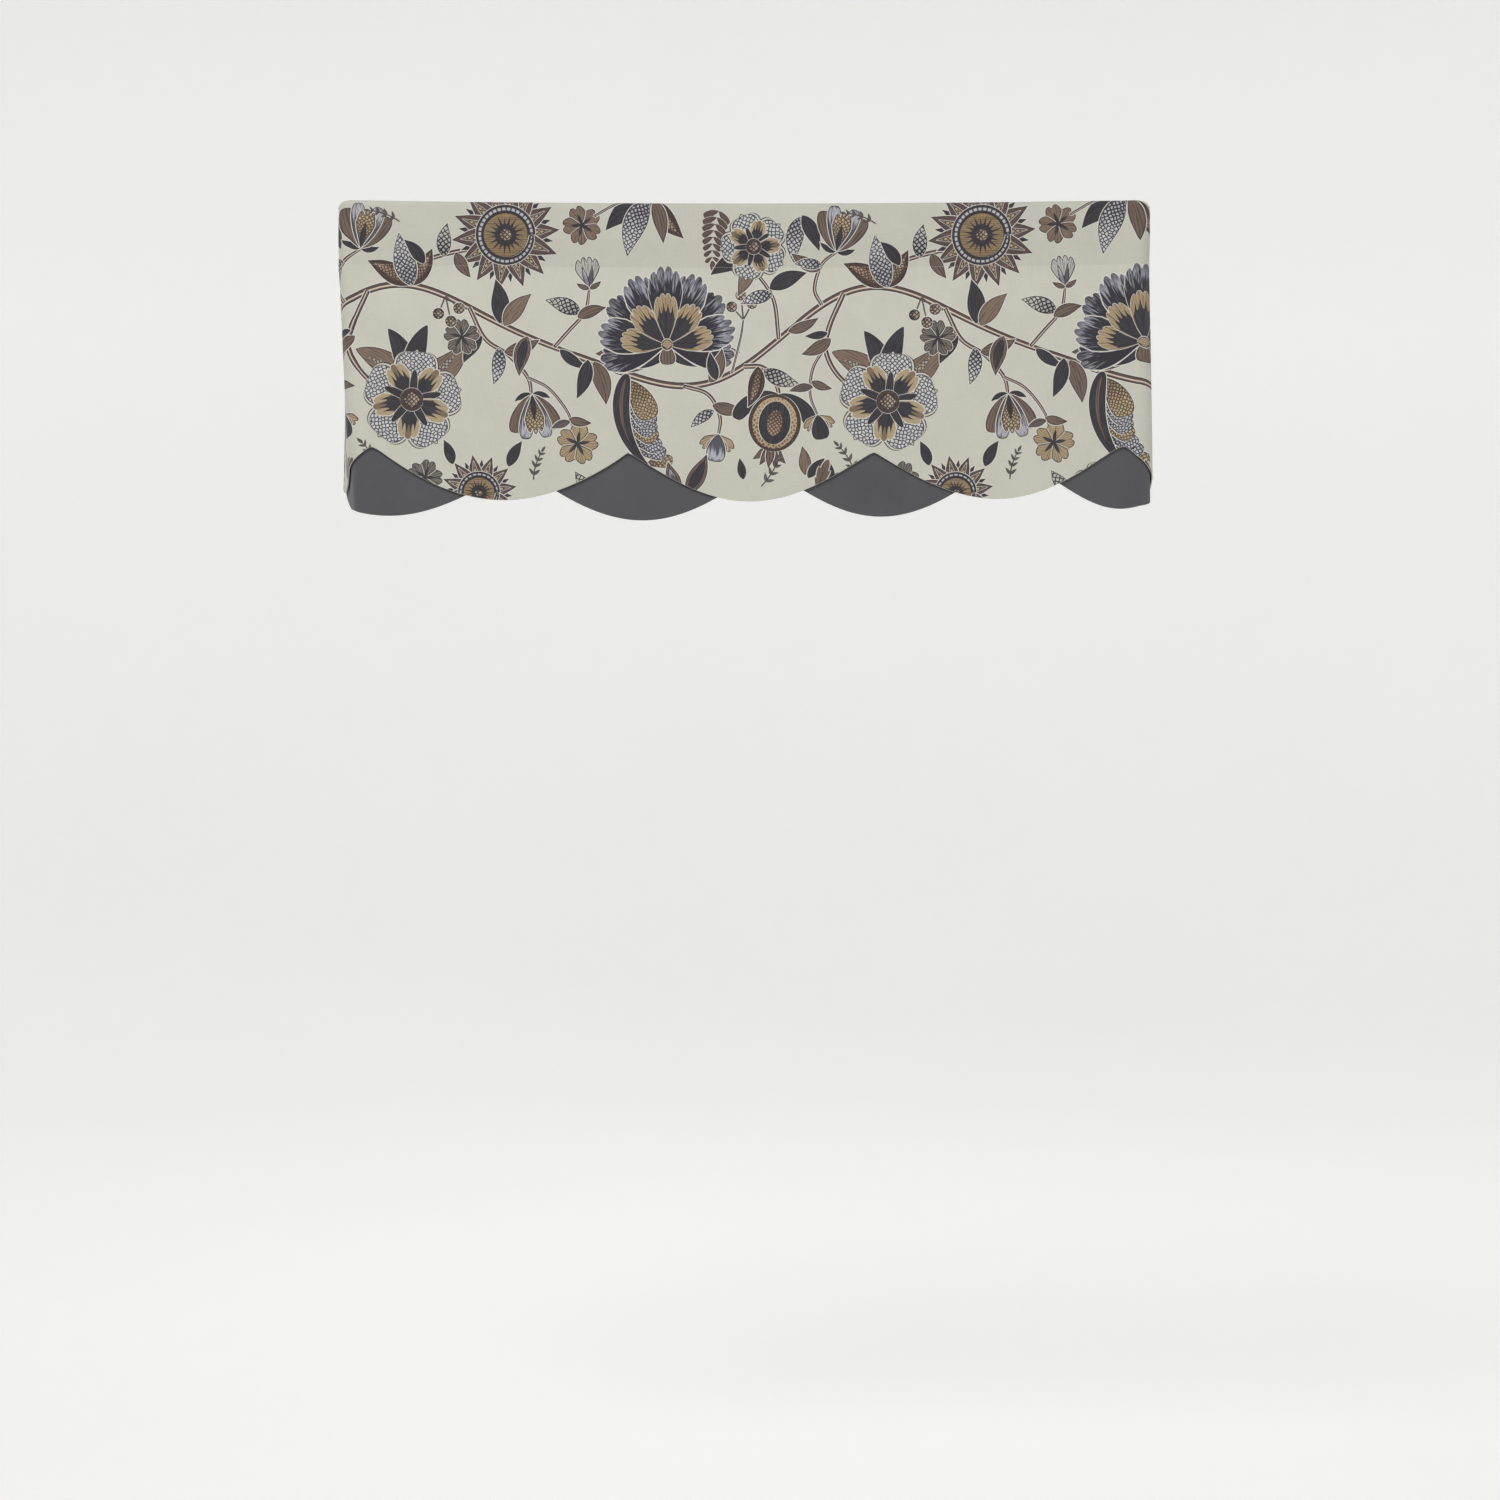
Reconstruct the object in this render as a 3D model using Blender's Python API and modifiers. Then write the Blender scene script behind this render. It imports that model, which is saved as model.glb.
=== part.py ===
"""A two-layer petticoat valance, hanging as it does on a flat curtain rod.

A patterned overlay with three scallops lies over a plain petticoat whose scallops fall between them.
The two are sewn together into a rod pocket along the top, and both turn back to the wall at each end.

Metres, +Z up. X runs along the window and the wall is towards +Y.
The origin is the middle of the top edge, over the middle of the rod pocket.
A place on the cloth is given by s, the distance along the plan line from the middle,
and by drop, the distance below the top edge.
"""

import math
from collections import namedtuple

import bmesh
import bpy

# Cloth
THICKNESS = 0.0015
SEAM_CLEARANCE = 0.00035  # between the layers where they are sewn together
LAYER_STEP = THICKNESS + SEAM_CLEARANCE  # middle of one layer to the middle of the next at a seam

# Plan: a straight face between two returns
FACE_WIDTH = 1.112
RETURN_DEPTH = 0.083
CORNER_RADIUS = 0.012
CORNER_SOFTENING = 0.010  # how much wider the corner bends at the lowest hem
# How far the corner has moved out at the lowest hem, and the angle by which the return has opened there
Hang = namedtuple("Hang", "shift opening")
LEFT_HANG = Hang(-0.0125, 0.235)
RIGHT_HANG = Hang(0.0075, 0.010)

# Rod pocket, as a section across the top: distances outside (+) or inside (-) of the plan line
POCKET_FRONT = 0.0065
POCKET_BACK = -0.0057
FLAP_BACK = POCKET_BACK - LAYER_STEP
FLAP_DROP = 0.028  # the overlay is turned over the top and down the back as far as this
PETTICOAT_TOP = 0.011
POCKET_STRAIGHT = 0.046  # the pocket is flat down to here, then it narrows to the seam
SEAM_DROP = 0.088
FACE_RECESS = 0.0042  # how far inside the pocket's front the seam is drawn, along the face
END_RECESS = 0.0010  # and from the corners to the wall
RECESS_RUN = 0.070

# Below the seam
HANG_OUT = 0.0055
HANG_RUN = 0.060  # the overlay comes forward over this drop
LEAN = 0.0020  # further out at the lowest hem
HANG_APART = 0.0038  # middle of the overlay to the middle of the petticoat
LOWEST_DROP = 0.432

# The top edge rises towards the ends and dips over the corners
END_RISE = 0.0045
CORNER_DIP = 0.0040
CORNER_DIP_RUN = 0.030

# Soft waves that grow from the seam to the hem
Wave = namedtuple("Wave", "height length crest")
WAVES = (Wave(0.0022, 0.340, 0.005), Wave(0.0016, 0.235, -0.420), Wave(0.0012, 0.610, 0.300))

# A peak of the scalloped hem at s, how much it is rounded off, and the scallop that follows it:
# its depth, and how pointed its bottom is. The last row only ends the scallop before it.
Peak = namedtuple("Peak", "s drop rounding depth point")
OVERLAY_PEAKS = (
    Peak(-0.683, 0.337, 0.008, 0.052, 1.0),
    Peak(-0.508, 0.337, 0.008, 0.068, 0.85),
    Peak(-0.159, 0.342, 0.002, 0.066, 1.0),
    Peak(0.177, 0.341, 0.002, 0.067, 0.95),
    Peak(0.517, 0.337, 0.008, 0.052, 1.0),
    Peak(0.692, 0.337, 0.008, None, None),
)
PETTICOAT_PEAKS = (
    Peak(-0.665, 0.363, 0.003, 0.067, 1.0),
    Peak(-0.308, 0.363, 0.003, 0.071, 1.0),
    Peak(0.030, 0.361, 0.003, 0.069, 1.0),
    Peak(0.350, 0.357, 0.003, 0.070, 2.0),
    Peak(0.685, 0.345, 0.003, None, None),
)

# Mesh
COLUMN_WIDTH = 0.021
CORNER_COLUMNS = 4
FLAP_ROWS, ROLL_ROWS, POCKET_ROWS, NARROWING_ROWS, HANGING_ROWS = 1, 5, 2, 3, 6

HALF_LINE = FACE_WIDTH / 2 - POCKET_FRONT - THICKNESS / 2
CORNER_START = HALF_LINE - CORNER_RADIUS
CORNER_END = CORNER_START + CORNER_RADIUS * math.pi / 2
LINE_END = CORNER_END + RETURN_DEPTH - POCKET_FRONT - CORNER_RADIUS


def ease(x):
    """0 to 1 with a level start and end."""
    x = min(max(x, 0.0), 1.0)
    return x * x * (3 - 2 * x)


def lowness(drop):
    """0 at the pocket seam and above, 1 at the lowest hem."""
    return max(drop - SEAM_DROP, 0.0) / (LOWEST_DROP - SEAM_DROP)


def plan(s, low):
    """The plan line's point at s, and the direction that is outside there."""
    side, hang = (-1, LEFT_HANG) if s < 0 else (1, RIGHT_HANG)
    radius = CORNER_RADIUS + CORNER_SOFTENING * low
    straight = HALF_LINE + hang.shift * low - radius
    run = abs(s) - straight
    if run <= 0:
        return s, 0.0, 0.0, -1.0
    bend = math.pi / 2 - hang.opening * low
    angle = min(run / radius, bend)
    rest = max(run - radius * bend, 0.0)
    x = straight + radius * math.sin(angle) + rest * math.cos(angle)
    y = radius * (1 - math.cos(angle)) + rest * math.sin(angle)
    return side * x, y, side * math.sin(angle), -math.cos(angle)


def top_line(s):
    """Height of the top edge above its middle."""
    rise = END_RISE * min(abs(s) / CORNER_START, 1.0) ** 2
    return rise - CORNER_DIP * ease((abs(s) - CORNER_START) / CORNER_DIP_RUN)


def waves(s, low):
    """How far the cloth swings outside its plan line at s."""
    return low * sum(w.height * math.cos(2 * math.pi * (s - w.crest) / w.length) for w in WAVES)


def blend(start, end, share):
    """From start to end, with a level start and end."""
    return start + (end - start) * ease(share)


def seam_out(s):
    """How far outside the plan line the pocket seam is."""
    return POCKET_FRONT - blend(FACE_RECESS, END_RECESS, (abs(s) - CORNER_START + RECESS_RUN) / RECESS_RUN)


def front_out(s, drop):
    """How far outside the plan line the overlay's front is."""
    if drop < SEAM_DROP:
        return blend(POCKET_FRONT, seam_out(s), (drop - POCKET_STRAIGHT) / (SEAM_DROP - POCKET_STRAIGHT))
    return blend(seam_out(s), HANG_OUT, (drop - SEAM_DROP) / HANG_RUN) + LEAN * lowness(drop)


def back_out(s, drop):
    """How far outside the plan line the petticoat is."""
    if drop < SEAM_DROP:
        narrowing = (drop - POCKET_STRAIGHT) / (SEAM_DROP - POCKET_STRAIGHT)
        return blend(POCKET_BACK, seam_out(s) - LAYER_STEP, narrowing)
    return front_out(s, drop) - blend(LAYER_STEP, HANG_APART, (drop - SEAM_DROP) / HANG_RUN)


def scalloped(s, peaks):
    """Drop of a scalloped hem at s."""
    here, after = next(pair for pair in zip(peaks, peaks[1:]) if s <= pair[1].s)
    share = (s - here.s) / (after.s - here.s)
    softness = (here.rounding + (after.rounding - here.rounding) * share) / here.depth
    wave = math.sin(math.pi * share) ** here.point
    fall = here.depth * (math.hypot(wave, softness) - softness) / (math.hypot(1, softness) - softness)
    return here.drop + (after.drop - here.drop) * share + fall


def columns():
    """Places along the plan line for the mesh's columns: every scallop peak and corner has its own."""
    marks = {peak.s for peak in OVERLAY_PEAKS + PETTICOAT_PEAKS if abs(peak.s) < CORNER_START}
    for side in (-1, 1):
        marks |= {side * CORNER_START, side * CORNER_END, side * LINE_END}
    marks = sorted(marks)
    places = [marks[0]]
    for start, end in zip(marks, marks[1:]):
        at_corner = CORNER_START < abs(start + end) / 2 < CORNER_END
        count = CORNER_COLUMNS if at_corner else math.ceil((end - start) / COLUMN_WIDTH)
        places += [start + (end - start) * (k + 1) / count for k in range(count)]
    return places


def spread(start, end, count):
    """count values from just after start up to end."""
    return [start + (end - start) * (k + 1) / count for k in range(count)]


def overlay_section(s):
    """The overlay's section at s, from the flap's edge to the hem: pairs of out and drop."""
    radius = (POCKET_FRONT - FLAP_BACK) / 2
    middle = (POCKET_FRONT + FLAP_BACK) / 2
    centre_drop = radius + THICKNESS / 2
    section = [(FLAP_BACK, FLAP_DROP)]
    section += [(FLAP_BACK, drop) for drop in spread(FLAP_DROP, centre_drop, FLAP_ROWS)]
    for turned in spread(0, math.pi, ROLL_ROWS):
        section.append((middle - radius * math.cos(turned), centre_drop - radius * math.sin(turned)))
    front = spread(centre_drop, POCKET_STRAIGHT, POCKET_ROWS)
    front += spread(POCKET_STRAIGHT, SEAM_DROP, NARROWING_ROWS)
    front += spread(SEAM_DROP, scalloped(s, OVERLAY_PEAKS), HANGING_ROWS)
    return section + [(front_out(s, drop), drop) for drop in front]


def petticoat_section(s):
    """The petticoat's section at s, from its top edge to the hem: pairs of out and drop."""
    drops = [PETTICOAT_TOP] + spread(PETTICOAT_TOP, POCKET_STRAIGHT, POCKET_ROWS)
    drops += spread(POCKET_STRAIGHT, SEAM_DROP, NARROWING_ROWS)
    drops += spread(SEAM_DROP, scalloped(s, PETTICOAT_PEAKS), HANGING_ROWS)
    return [(back_out(s, drop), drop) for drop in drops]


def hung_sheet(name, section_at, material):
    """A sheet of cloth with its section at every column of the plan line."""
    places = columns()
    sections = [section_at(s) for s in places]
    rows = len(sections[0])
    bm = bmesh.new()
    bmesh.ops.create_grid(bm, x_segments=len(places) - 1, y_segments=rows - 1, size=1.0)
    for vertex in bm.verts:
        column = round((vertex.co.x + 1) / 2 * (len(places) - 1))
        row = round((1 - vertex.co.y) / 2 * (rows - 1))
        s = places[column]
        out, drop = sections[column][row]
        low = lowness(drop)
        x, y, out_x, out_y = plan(s, low)
        out += waves(s, low)
        vertex.co = (x + out_x * out, y + out_y * out, top_line(s) - drop)
    bmesh.ops.recalc_face_normals(bm, faces=bm.faces)
    mesh = bpy.data.meshes.new(name)
    bm.to_mesh(mesh)
    bm.free()
    mesh.materials.append(material)
    mesh.shade_smooth()
    sheet = bpy.data.objects.new(name, mesh)
    solidify = sheet.modifiers.new("cloth thickness", "SOLIDIFY")
    solidify.thickness = THICKNESS
    solidify.offset = 0.0
    solidify.use_even_offset = True
    return sheet


def cloth_material(name, colour, roughness):
    """A matt cloth of one colour."""
    material = bpy.data.materials.new(name)
    material.use_nodes = True
    shader = material.node_tree.nodes["Principled BSDF"]
    shader.inputs["Base Color"].default_value = (*colour, 1.0)
    shader.inputs["Roughness"].default_value = roughness
    shader.inputs["Metallic"].default_value = 0.0
    return material


def main():
    for old in list(bpy.data.objects):
        bpy.data.objects.remove(old, do_unlink=True)
    collection = bpy.data.collections.new("petticoat valance")
    bpy.context.scene.collection.children.link(collection)
    cream = cloth_material("cream printed cotton", (0.53, 0.52, 0.45), 0.85)
    grey = cloth_material("dark grey cotton", (0.100, 0.094, 0.098), 0.85)
    collection.objects.link(hung_sheet("overlay", overlay_section, cream))
    collection.objects.link(hung_sheet("petticoat", petticoat_section, grey))


main()
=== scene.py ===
"""The looks of a two-layer petticoat valance: a printed cotton overlay over a plain grey petticoat.

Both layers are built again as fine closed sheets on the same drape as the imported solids.
The print is a vector design of stems, leaves and flowers, drawn by formula on the flat cloth.
It is cut into the overlay's own mesh, so that each motif hangs with the cloth.

Metres, +Z up, X along the window, the wall towards +Y, and the origin in the middle of the top edge.
On the cloth, s is the distance along the plan line from the middle,
and run is the distance down the cloth from the top edge, less than 0 where it goes over the rod.
The print is drawn in millimetres: x is s, and y is -run.
"""

import math
import random
from collections import namedtuple

import bmesh
import bpy
import numpy as np
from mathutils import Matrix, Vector
from mathutils.geometry import delaunay_2d_cdt


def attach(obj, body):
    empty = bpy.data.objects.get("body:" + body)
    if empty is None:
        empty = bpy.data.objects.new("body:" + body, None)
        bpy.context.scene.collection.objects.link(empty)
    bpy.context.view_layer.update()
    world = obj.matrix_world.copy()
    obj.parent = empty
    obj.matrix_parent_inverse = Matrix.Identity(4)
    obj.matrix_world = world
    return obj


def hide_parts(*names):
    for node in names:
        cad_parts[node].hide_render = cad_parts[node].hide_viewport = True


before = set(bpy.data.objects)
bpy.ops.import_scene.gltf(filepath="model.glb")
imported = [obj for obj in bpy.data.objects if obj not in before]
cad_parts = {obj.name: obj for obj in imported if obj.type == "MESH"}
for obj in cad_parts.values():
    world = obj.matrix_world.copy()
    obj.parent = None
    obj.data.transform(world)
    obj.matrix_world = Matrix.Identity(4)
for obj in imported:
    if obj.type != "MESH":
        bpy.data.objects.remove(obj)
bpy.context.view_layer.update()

# ---------------------------------------------------------------- the drape, as in the CAD source

THICKNESS = 0.0015
SEAM_CLEARANCE = 0.00035
LAYER_STEP = THICKNESS + SEAM_CLEARANCE

FACE_WIDTH = 1.112
RETURN_DEPTH = 0.083
CORNER_RADIUS = 0.012
CORNER_SOFTENING = 0.010
Hang = namedtuple("Hang", "shift opening")
LEFT_HANG = Hang(-0.0125, 0.235)
RIGHT_HANG = Hang(0.0075, 0.010)

POCKET_FRONT = 0.0065
POCKET_BACK = -0.0057
FLAP_BACK = POCKET_BACK - LAYER_STEP
FLAP_DROP = 0.028
PETTICOAT_TOP = 0.011
POCKET_STRAIGHT = 0.046
SEAM_DROP = 0.088
FACE_RECESS = 0.0042
END_RECESS = 0.0010
RECESS_RUN = 0.070

HANG_OUT = 0.0055
HANG_RUN = 0.060
LEAN = 0.0020
HANG_APART = 0.0038
LOWEST_DROP = 0.432

END_RISE = 0.0045
CORNER_DIP = 0.0040
CORNER_DIP_RUN = 0.030

Wave = namedtuple("Wave", "height length crest")
WAVES = (Wave(0.0022, 0.340, 0.005), Wave(0.0016, 0.235, -0.420), Wave(0.0012, 0.610, 0.300))

Peak = namedtuple("Peak", "s drop rounding depth point")
OVERLAY_PEAKS = (
    Peak(-0.683, 0.337, 0.008, 0.052, 1.0),
    Peak(-0.508, 0.337, 0.008, 0.068, 0.85),
    Peak(-0.159, 0.342, 0.002, 0.066, 1.0),
    Peak(0.177, 0.341, 0.002, 0.067, 0.95),
    Peak(0.517, 0.337, 0.008, 0.052, 1.0),
    Peak(0.692, 0.337, 0.008, None, None),
)
PETTICOAT_PEAKS = (
    Peak(-0.665, 0.363, 0.003, 0.067, 1.0),
    Peak(-0.308, 0.363, 0.003, 0.071, 1.0),
    Peak(0.030, 0.361, 0.003, 0.069, 1.0),
    Peak(0.350, 0.357, 0.003, 0.070, 2.0),
    Peak(0.685, 0.345, 0.003, None, None),
)

HALF_LINE = FACE_WIDTH / 2 - POCKET_FRONT - THICKNESS / 2
CORNER_START = HALF_LINE - CORNER_RADIUS
CORNER_END = CORNER_START + CORNER_RADIUS * math.pi / 2
LINE_END = CORNER_END + RETURN_DEPTH - POCKET_FRONT - CORNER_RADIUS

ROLL_RADIUS = (POCKET_FRONT - FLAP_BACK) / 2
ROLL_MIDDLE = (POCKET_FRONT + FLAP_BACK) / 2
ROLL_DROP = ROLL_RADIUS + THICKNESS / 2  # the front is flat from here down
ROLL_LENGTH = math.pi * ROLL_RADIUS
# the flap's edge, over the top and down the back
FLAP_RUN = ROLL_DROP - ROLL_LENGTH - (FLAP_DROP - ROLL_DROP)

# What only the looks have: the sewn line's groove, its puckers, and soft unevenness of the cloth
GROOVE_DEPTH = 0.00035
GROOVE_WIDTH = 0.0016
PUCKER_HEIGHT = 0.00045
PUCKER_REACH = 0.016
UNEVENNESS = 0.0006
# Their waves, in radians for each metre along the cloth or down it
PUCKER_WAVE, PUCKER_DRIFT, PUCKER_GROUPS = 410, 57, 131
RIPPLE_WAVE, RIPPLE_SLANT = 46, 9
RIPPLE_GROUPS, RIPPLE_COUNTER = 17, 5


def ease(x):
    """0 to 1 with a level start and end."""
    x = np.clip(x, 0.0, 1.0)
    return x * x * (3 - 2 * x)


def blend(start, end, share):
    return start + (end - start) * ease(share)


def lowness(drop):
    """0 at the pocket seam and above, 1 at the lowest hem."""
    return np.maximum(drop - SEAM_DROP, 0.0) / (LOWEST_DROP - SEAM_DROP)


def plan(s, low):
    """The plan line's points at s, and the directions that are outside there."""
    side = np.where(s < 0, -1.0, 1.0)
    shift = np.where(s < 0, LEFT_HANG.shift, RIGHT_HANG.shift) * low
    opening = np.where(s < 0, LEFT_HANG.opening, RIGHT_HANG.opening) * low
    radius = CORNER_RADIUS + CORNER_SOFTENING * low
    straight = HALF_LINE + shift - radius
    past = np.maximum(np.abs(s) - straight, 0.0)
    bend = math.pi / 2 - opening
    angle = np.minimum(past / radius, bend)
    rest = np.maximum(past - radius * bend, 0.0)
    x = np.minimum(np.abs(s), straight) + radius * np.sin(angle) + rest * np.cos(angle)
    y = radius * (1 - np.cos(angle)) + rest * np.sin(angle)
    return side * x, y, side * np.sin(angle), -np.cos(angle)


def top_line(s):
    """Height of the top edge above its middle."""
    rise = END_RISE * np.minimum(np.abs(s) / CORNER_START, 1.0) ** 2
    return rise - CORNER_DIP * ease((np.abs(s) - CORNER_START) / CORNER_DIP_RUN)


def waves(s, low):
    """How far the cloth swings outside its plan line at s."""
    return low * sum(w.height * np.cos(2 * math.pi * (s - w.crest) / w.length) for w in WAVES)


def seam_out(s):
    """How far outside the plan line the pocket seam is."""
    past = np.abs(s) - CORNER_START + RECESS_RUN
    return POCKET_FRONT - blend(FACE_RECESS, END_RECESS, past / RECESS_RUN)


def pocket_share(drop):
    """0 where the pocket is straight, 1 at its seam."""
    return (drop - POCKET_STRAIGHT) / (SEAM_DROP - POCKET_STRAIGHT)


def front_out(s, drop):
    """How far outside the plan line the overlay's front is."""
    pocket = blend(POCKET_FRONT, seam_out(s), pocket_share(drop))
    below = blend(seam_out(s), HANG_OUT, (drop - SEAM_DROP) / HANG_RUN) + LEAN * lowness(drop)
    return np.where(drop < SEAM_DROP, pocket, below)


def back_out(s, drop):
    """How far outside the plan line the petticoat is."""
    pocket = blend(POCKET_BACK, seam_out(s) - LAYER_STEP, pocket_share(drop))
    below = front_out(s, drop) - blend(LAYER_STEP, HANG_APART, (drop - SEAM_DROP) / HANG_RUN)
    return np.where(drop < SEAM_DROP, pocket, below)


def scalloped(s, peaks):
    """Drop of a scalloped hem at s."""
    starts = np.array([peak.s for peak in peaks[:-1]])
    here = np.clip(np.searchsorted(starts, s) - 1, 0, len(starts) - 1)

    def column(name, rows):
        return np.array([getattr(peak, name) for peak in rows], dtype=float)[here]

    share = np.clip((s - starts[here]) / (column("s", peaks[1:]) - starts[here]), 0.0, 1.0)
    depth = column("depth", peaks[:-1])
    rounding = column("rounding", peaks[:-1])
    softness = (rounding + (column("rounding", peaks[1:]) - rounding) * share) / depth
    wave = np.sin(math.pi * share) ** column("point", peaks[:-1])
    fall = depth * (np.hypot(wave, softness) - softness) / (np.hypot(1, softness) - softness)
    drop = column("drop", peaks[:-1])
    return drop + (column("drop", peaks[1:]) - drop) * share + fall


def puckers(s, drop):
    """Relief of the overlay at the seam: outward only, so that it never meets the petticoat."""
    from_seam = (drop - SEAM_DROP) / PUCKER_REACH
    wave = np.sin(s * PUCKER_WAVE + 2 * np.sin(s * PUCKER_DRIFT)) * np.sin(s * PUCKER_GROUPS + 1.3)
    return PUCKER_HEIGHT * (1 + wave) * np.exp(-from_seam**2)


def unevenness(s, drop):
    """Slow ripples below the seam, shared by both layers."""
    waves_along = np.sin(s * RIPPLE_WAVE + RIPPLE_SLANT * drop)
    ripple = waves_along * np.sin(s * RIPPLE_GROUPS - RIPPLE_COUNTER * drop + 0.7)
    return UNEVENNESS * ripple * ease(lowness(drop) * 3)


def hung(s, out, drop):
    """Points in space of a place on the cloth that is out from the plan line and drop below the top."""
    low = lowness(drop)
    x, y, out_x, out_y = plan(s, low)
    out = out + waves(s, low) + unevenness(s, drop)
    return np.stack([x + out_x * out, y + out_y * out, top_line(s) - drop], axis=-1)


def overlay_at(s, run):
    """Points on the middle of the overlay's thickness."""
    over = np.clip((ROLL_DROP - run) / ROLL_RADIUS, 0.0, math.pi)
    down_back = np.maximum(ROLL_DROP - ROLL_LENGTH - run, 0.0)
    out = np.where(over > 0, ROLL_MIDDLE + ROLL_RADIUS * np.cos(over), front_out(s, run))
    drop = np.where(over > 0, ROLL_DROP - ROLL_RADIUS * np.sin(over) + down_back, run)
    return hung(s, out + puckers(s, drop), drop)


def petticoat_at(s, run):
    """Points on the middle of the petticoat's thickness."""
    return hung(s, back_out(s, run), run)


def skins(surface, s, run, groove=0.0):
    """Points of a sheet's front and back, and the directions that they face."""
    step = 0.0004
    along = surface(s + step, run) - surface(s - step, run)
    down = surface(s, run + step) - surface(s, run - step)
    facing = np.cross(down, along)
    facing /= np.linalg.norm(facing, axis=1)[:, None]
    middle = surface(s, run)
    sewn = groove * np.exp(-(((run - SEAM_DROP) / GROOVE_WIDTH) ** 2))
    front = middle + facing * (THICKNESS / 2 - sewn)[:, None]
    return front, middle - facing * THICKNESS / 2, facing


# ---------------------------------------------------------------- drawing on the flat cloth

MM = 1000
# How slowly a width swells from the base, and shrinks to the tip
Profile = namedtuple("Profile", "rise fall")
LEAF = Profile(0.80, 1.15)
PETAL = Profile(0.75, 0.32)
OVAL = Profile(0.50, 0.50)
DROP = Profile(0.45, 1.10)
STEM = Profile(0.03, 0.12)
TAPER = Profile(0.05, 0.75)
HORN = Profile(0.22, 1.20)
BROAD = Profile(0.55, 0.80)

HALO = 1.1  # a pale line around each motif
FINE_HALO = 0.5
RIM = 1.3  # a thin dark line around a shape
OUTER_LINE = 1.6
OUTER_GAP = 2.4
THIN_TOLERANCE = 0.10
LONGEST_EDGE = 14.0
FAN_MIDDLE = 0.7  # the share of a shape's length where its fanned pattern has its true width
FAR_FROM_EDGE = 100.0
LINE_STEP = 2.2
CIRCLE_SIDES = 30
BLADE_STEP = 2.6
FEWEST_STEPS, MOST_STEPS = 7, 90


def smooth(points):
    """A smooth line through a few points."""
    points = [np.array(point, dtype=float) for point in points]
    ends = [2 * points[0] - points[1]] + points + [2 * points[-1] - points[-2]]
    line = []
    for before, here, after, next_one in zip(ends, ends[1:], ends[2:], ends[3:]):
        count = max(int(np.linalg.norm(after - here) / LINE_STEP), 2)
        for t in np.arange(count) / count:
            squared = (2 * before - 5 * here + 4 * after - next_one) * t**2
            cubed = (3 * here - before - 3 * after + next_one) * t**3
            line.append(0.5 * (2 * here + (after - before) * t + squared + cubed))
    return np.array(line + [points[-1]])


def bent(base, angle, length, bend):
    """A line from base that heads for an angle at its middle and turns by bend degrees on its way."""
    count = max(int(length / LINE_STEP), 8)
    angles = np.radians(angle - bend / 2 + bend * (np.arange(count) + 0.5) / count)
    steps = np.stack([np.cos(angles), np.sin(angles)], axis=1) * length / count
    return np.array(base, dtype=float) + np.vstack([np.zeros(2), np.cumsum(steps, axis=0)])


def circle(centre, radius):
    angles = np.radians(360.0 * np.arange(CIRCLE_SIDES + 1) / CIRCLE_SIDES)
    return np.array(centre, dtype=float) + radius * np.stack([np.cos(angles), np.sin(angles)], axis=1)


def beside(spine, share, aside):
    """Points that are a share of the way along the spine, and aside to its left."""
    run = np.gradient(spine, axis=0)
    run /= np.linalg.norm(run, axis=1)[:, None]
    place = np.clip(share, 0, 1) * (len(spine) - 1)
    whole = np.arange(len(spine))
    middle = np.stack([np.interp(place, whole, spine[:, axis]) for axis in (0, 1)], axis=1)
    along = np.stack([np.interp(place, whole, run[:, axis]) for axis in (0, 1)], axis=1)
    left = np.stack([-along[:, 1], along[:, 0]], axis=1)
    return middle + left * np.broadcast_to(aside, share.shape)[:, None]


def twice_area(outline):
    """Twice the area that a closed outline winds round, positive where counterclockwise."""
    after = np.roll(outline, -1, axis=0)
    return (outline[:, 0] * after[:, 1] - outline[:, 1] * after[:, 0]).sum()


def grown(outline, distance):
    """A closed outline, moved outward by the distance."""
    after, before = np.roll(outline, -1, axis=0), np.roll(outline, 1, axis=0)
    run = after - before
    run /= np.maximum(np.linalg.norm(run, axis=1), 1e-6)[:, None]
    outward = np.stack([run[:, 1], -run[:, 0]], axis=1) * math.copysign(1.0, twice_area(outline))
    return outline + outward * distance


def thinned(outline):
    """The outline without the points that it runs straight through."""
    kept = [outline[0]]
    for here, after in zip(outline[1:], np.roll(outline, -1, axis=0)[1:]):
        span = after - kept[-1]
        size = np.linalg.norm(span)
        apart = here - kept[-1]
        off = abs(span[0] * apart[1] - span[1] * apart[0]) / size if size > 1e-6 else 1.0
        if off > THIN_TOLERANCE or np.linalg.norm(apart) > LONGEST_EDGE:
            kept.append(here)
    return np.array(kept)


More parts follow.
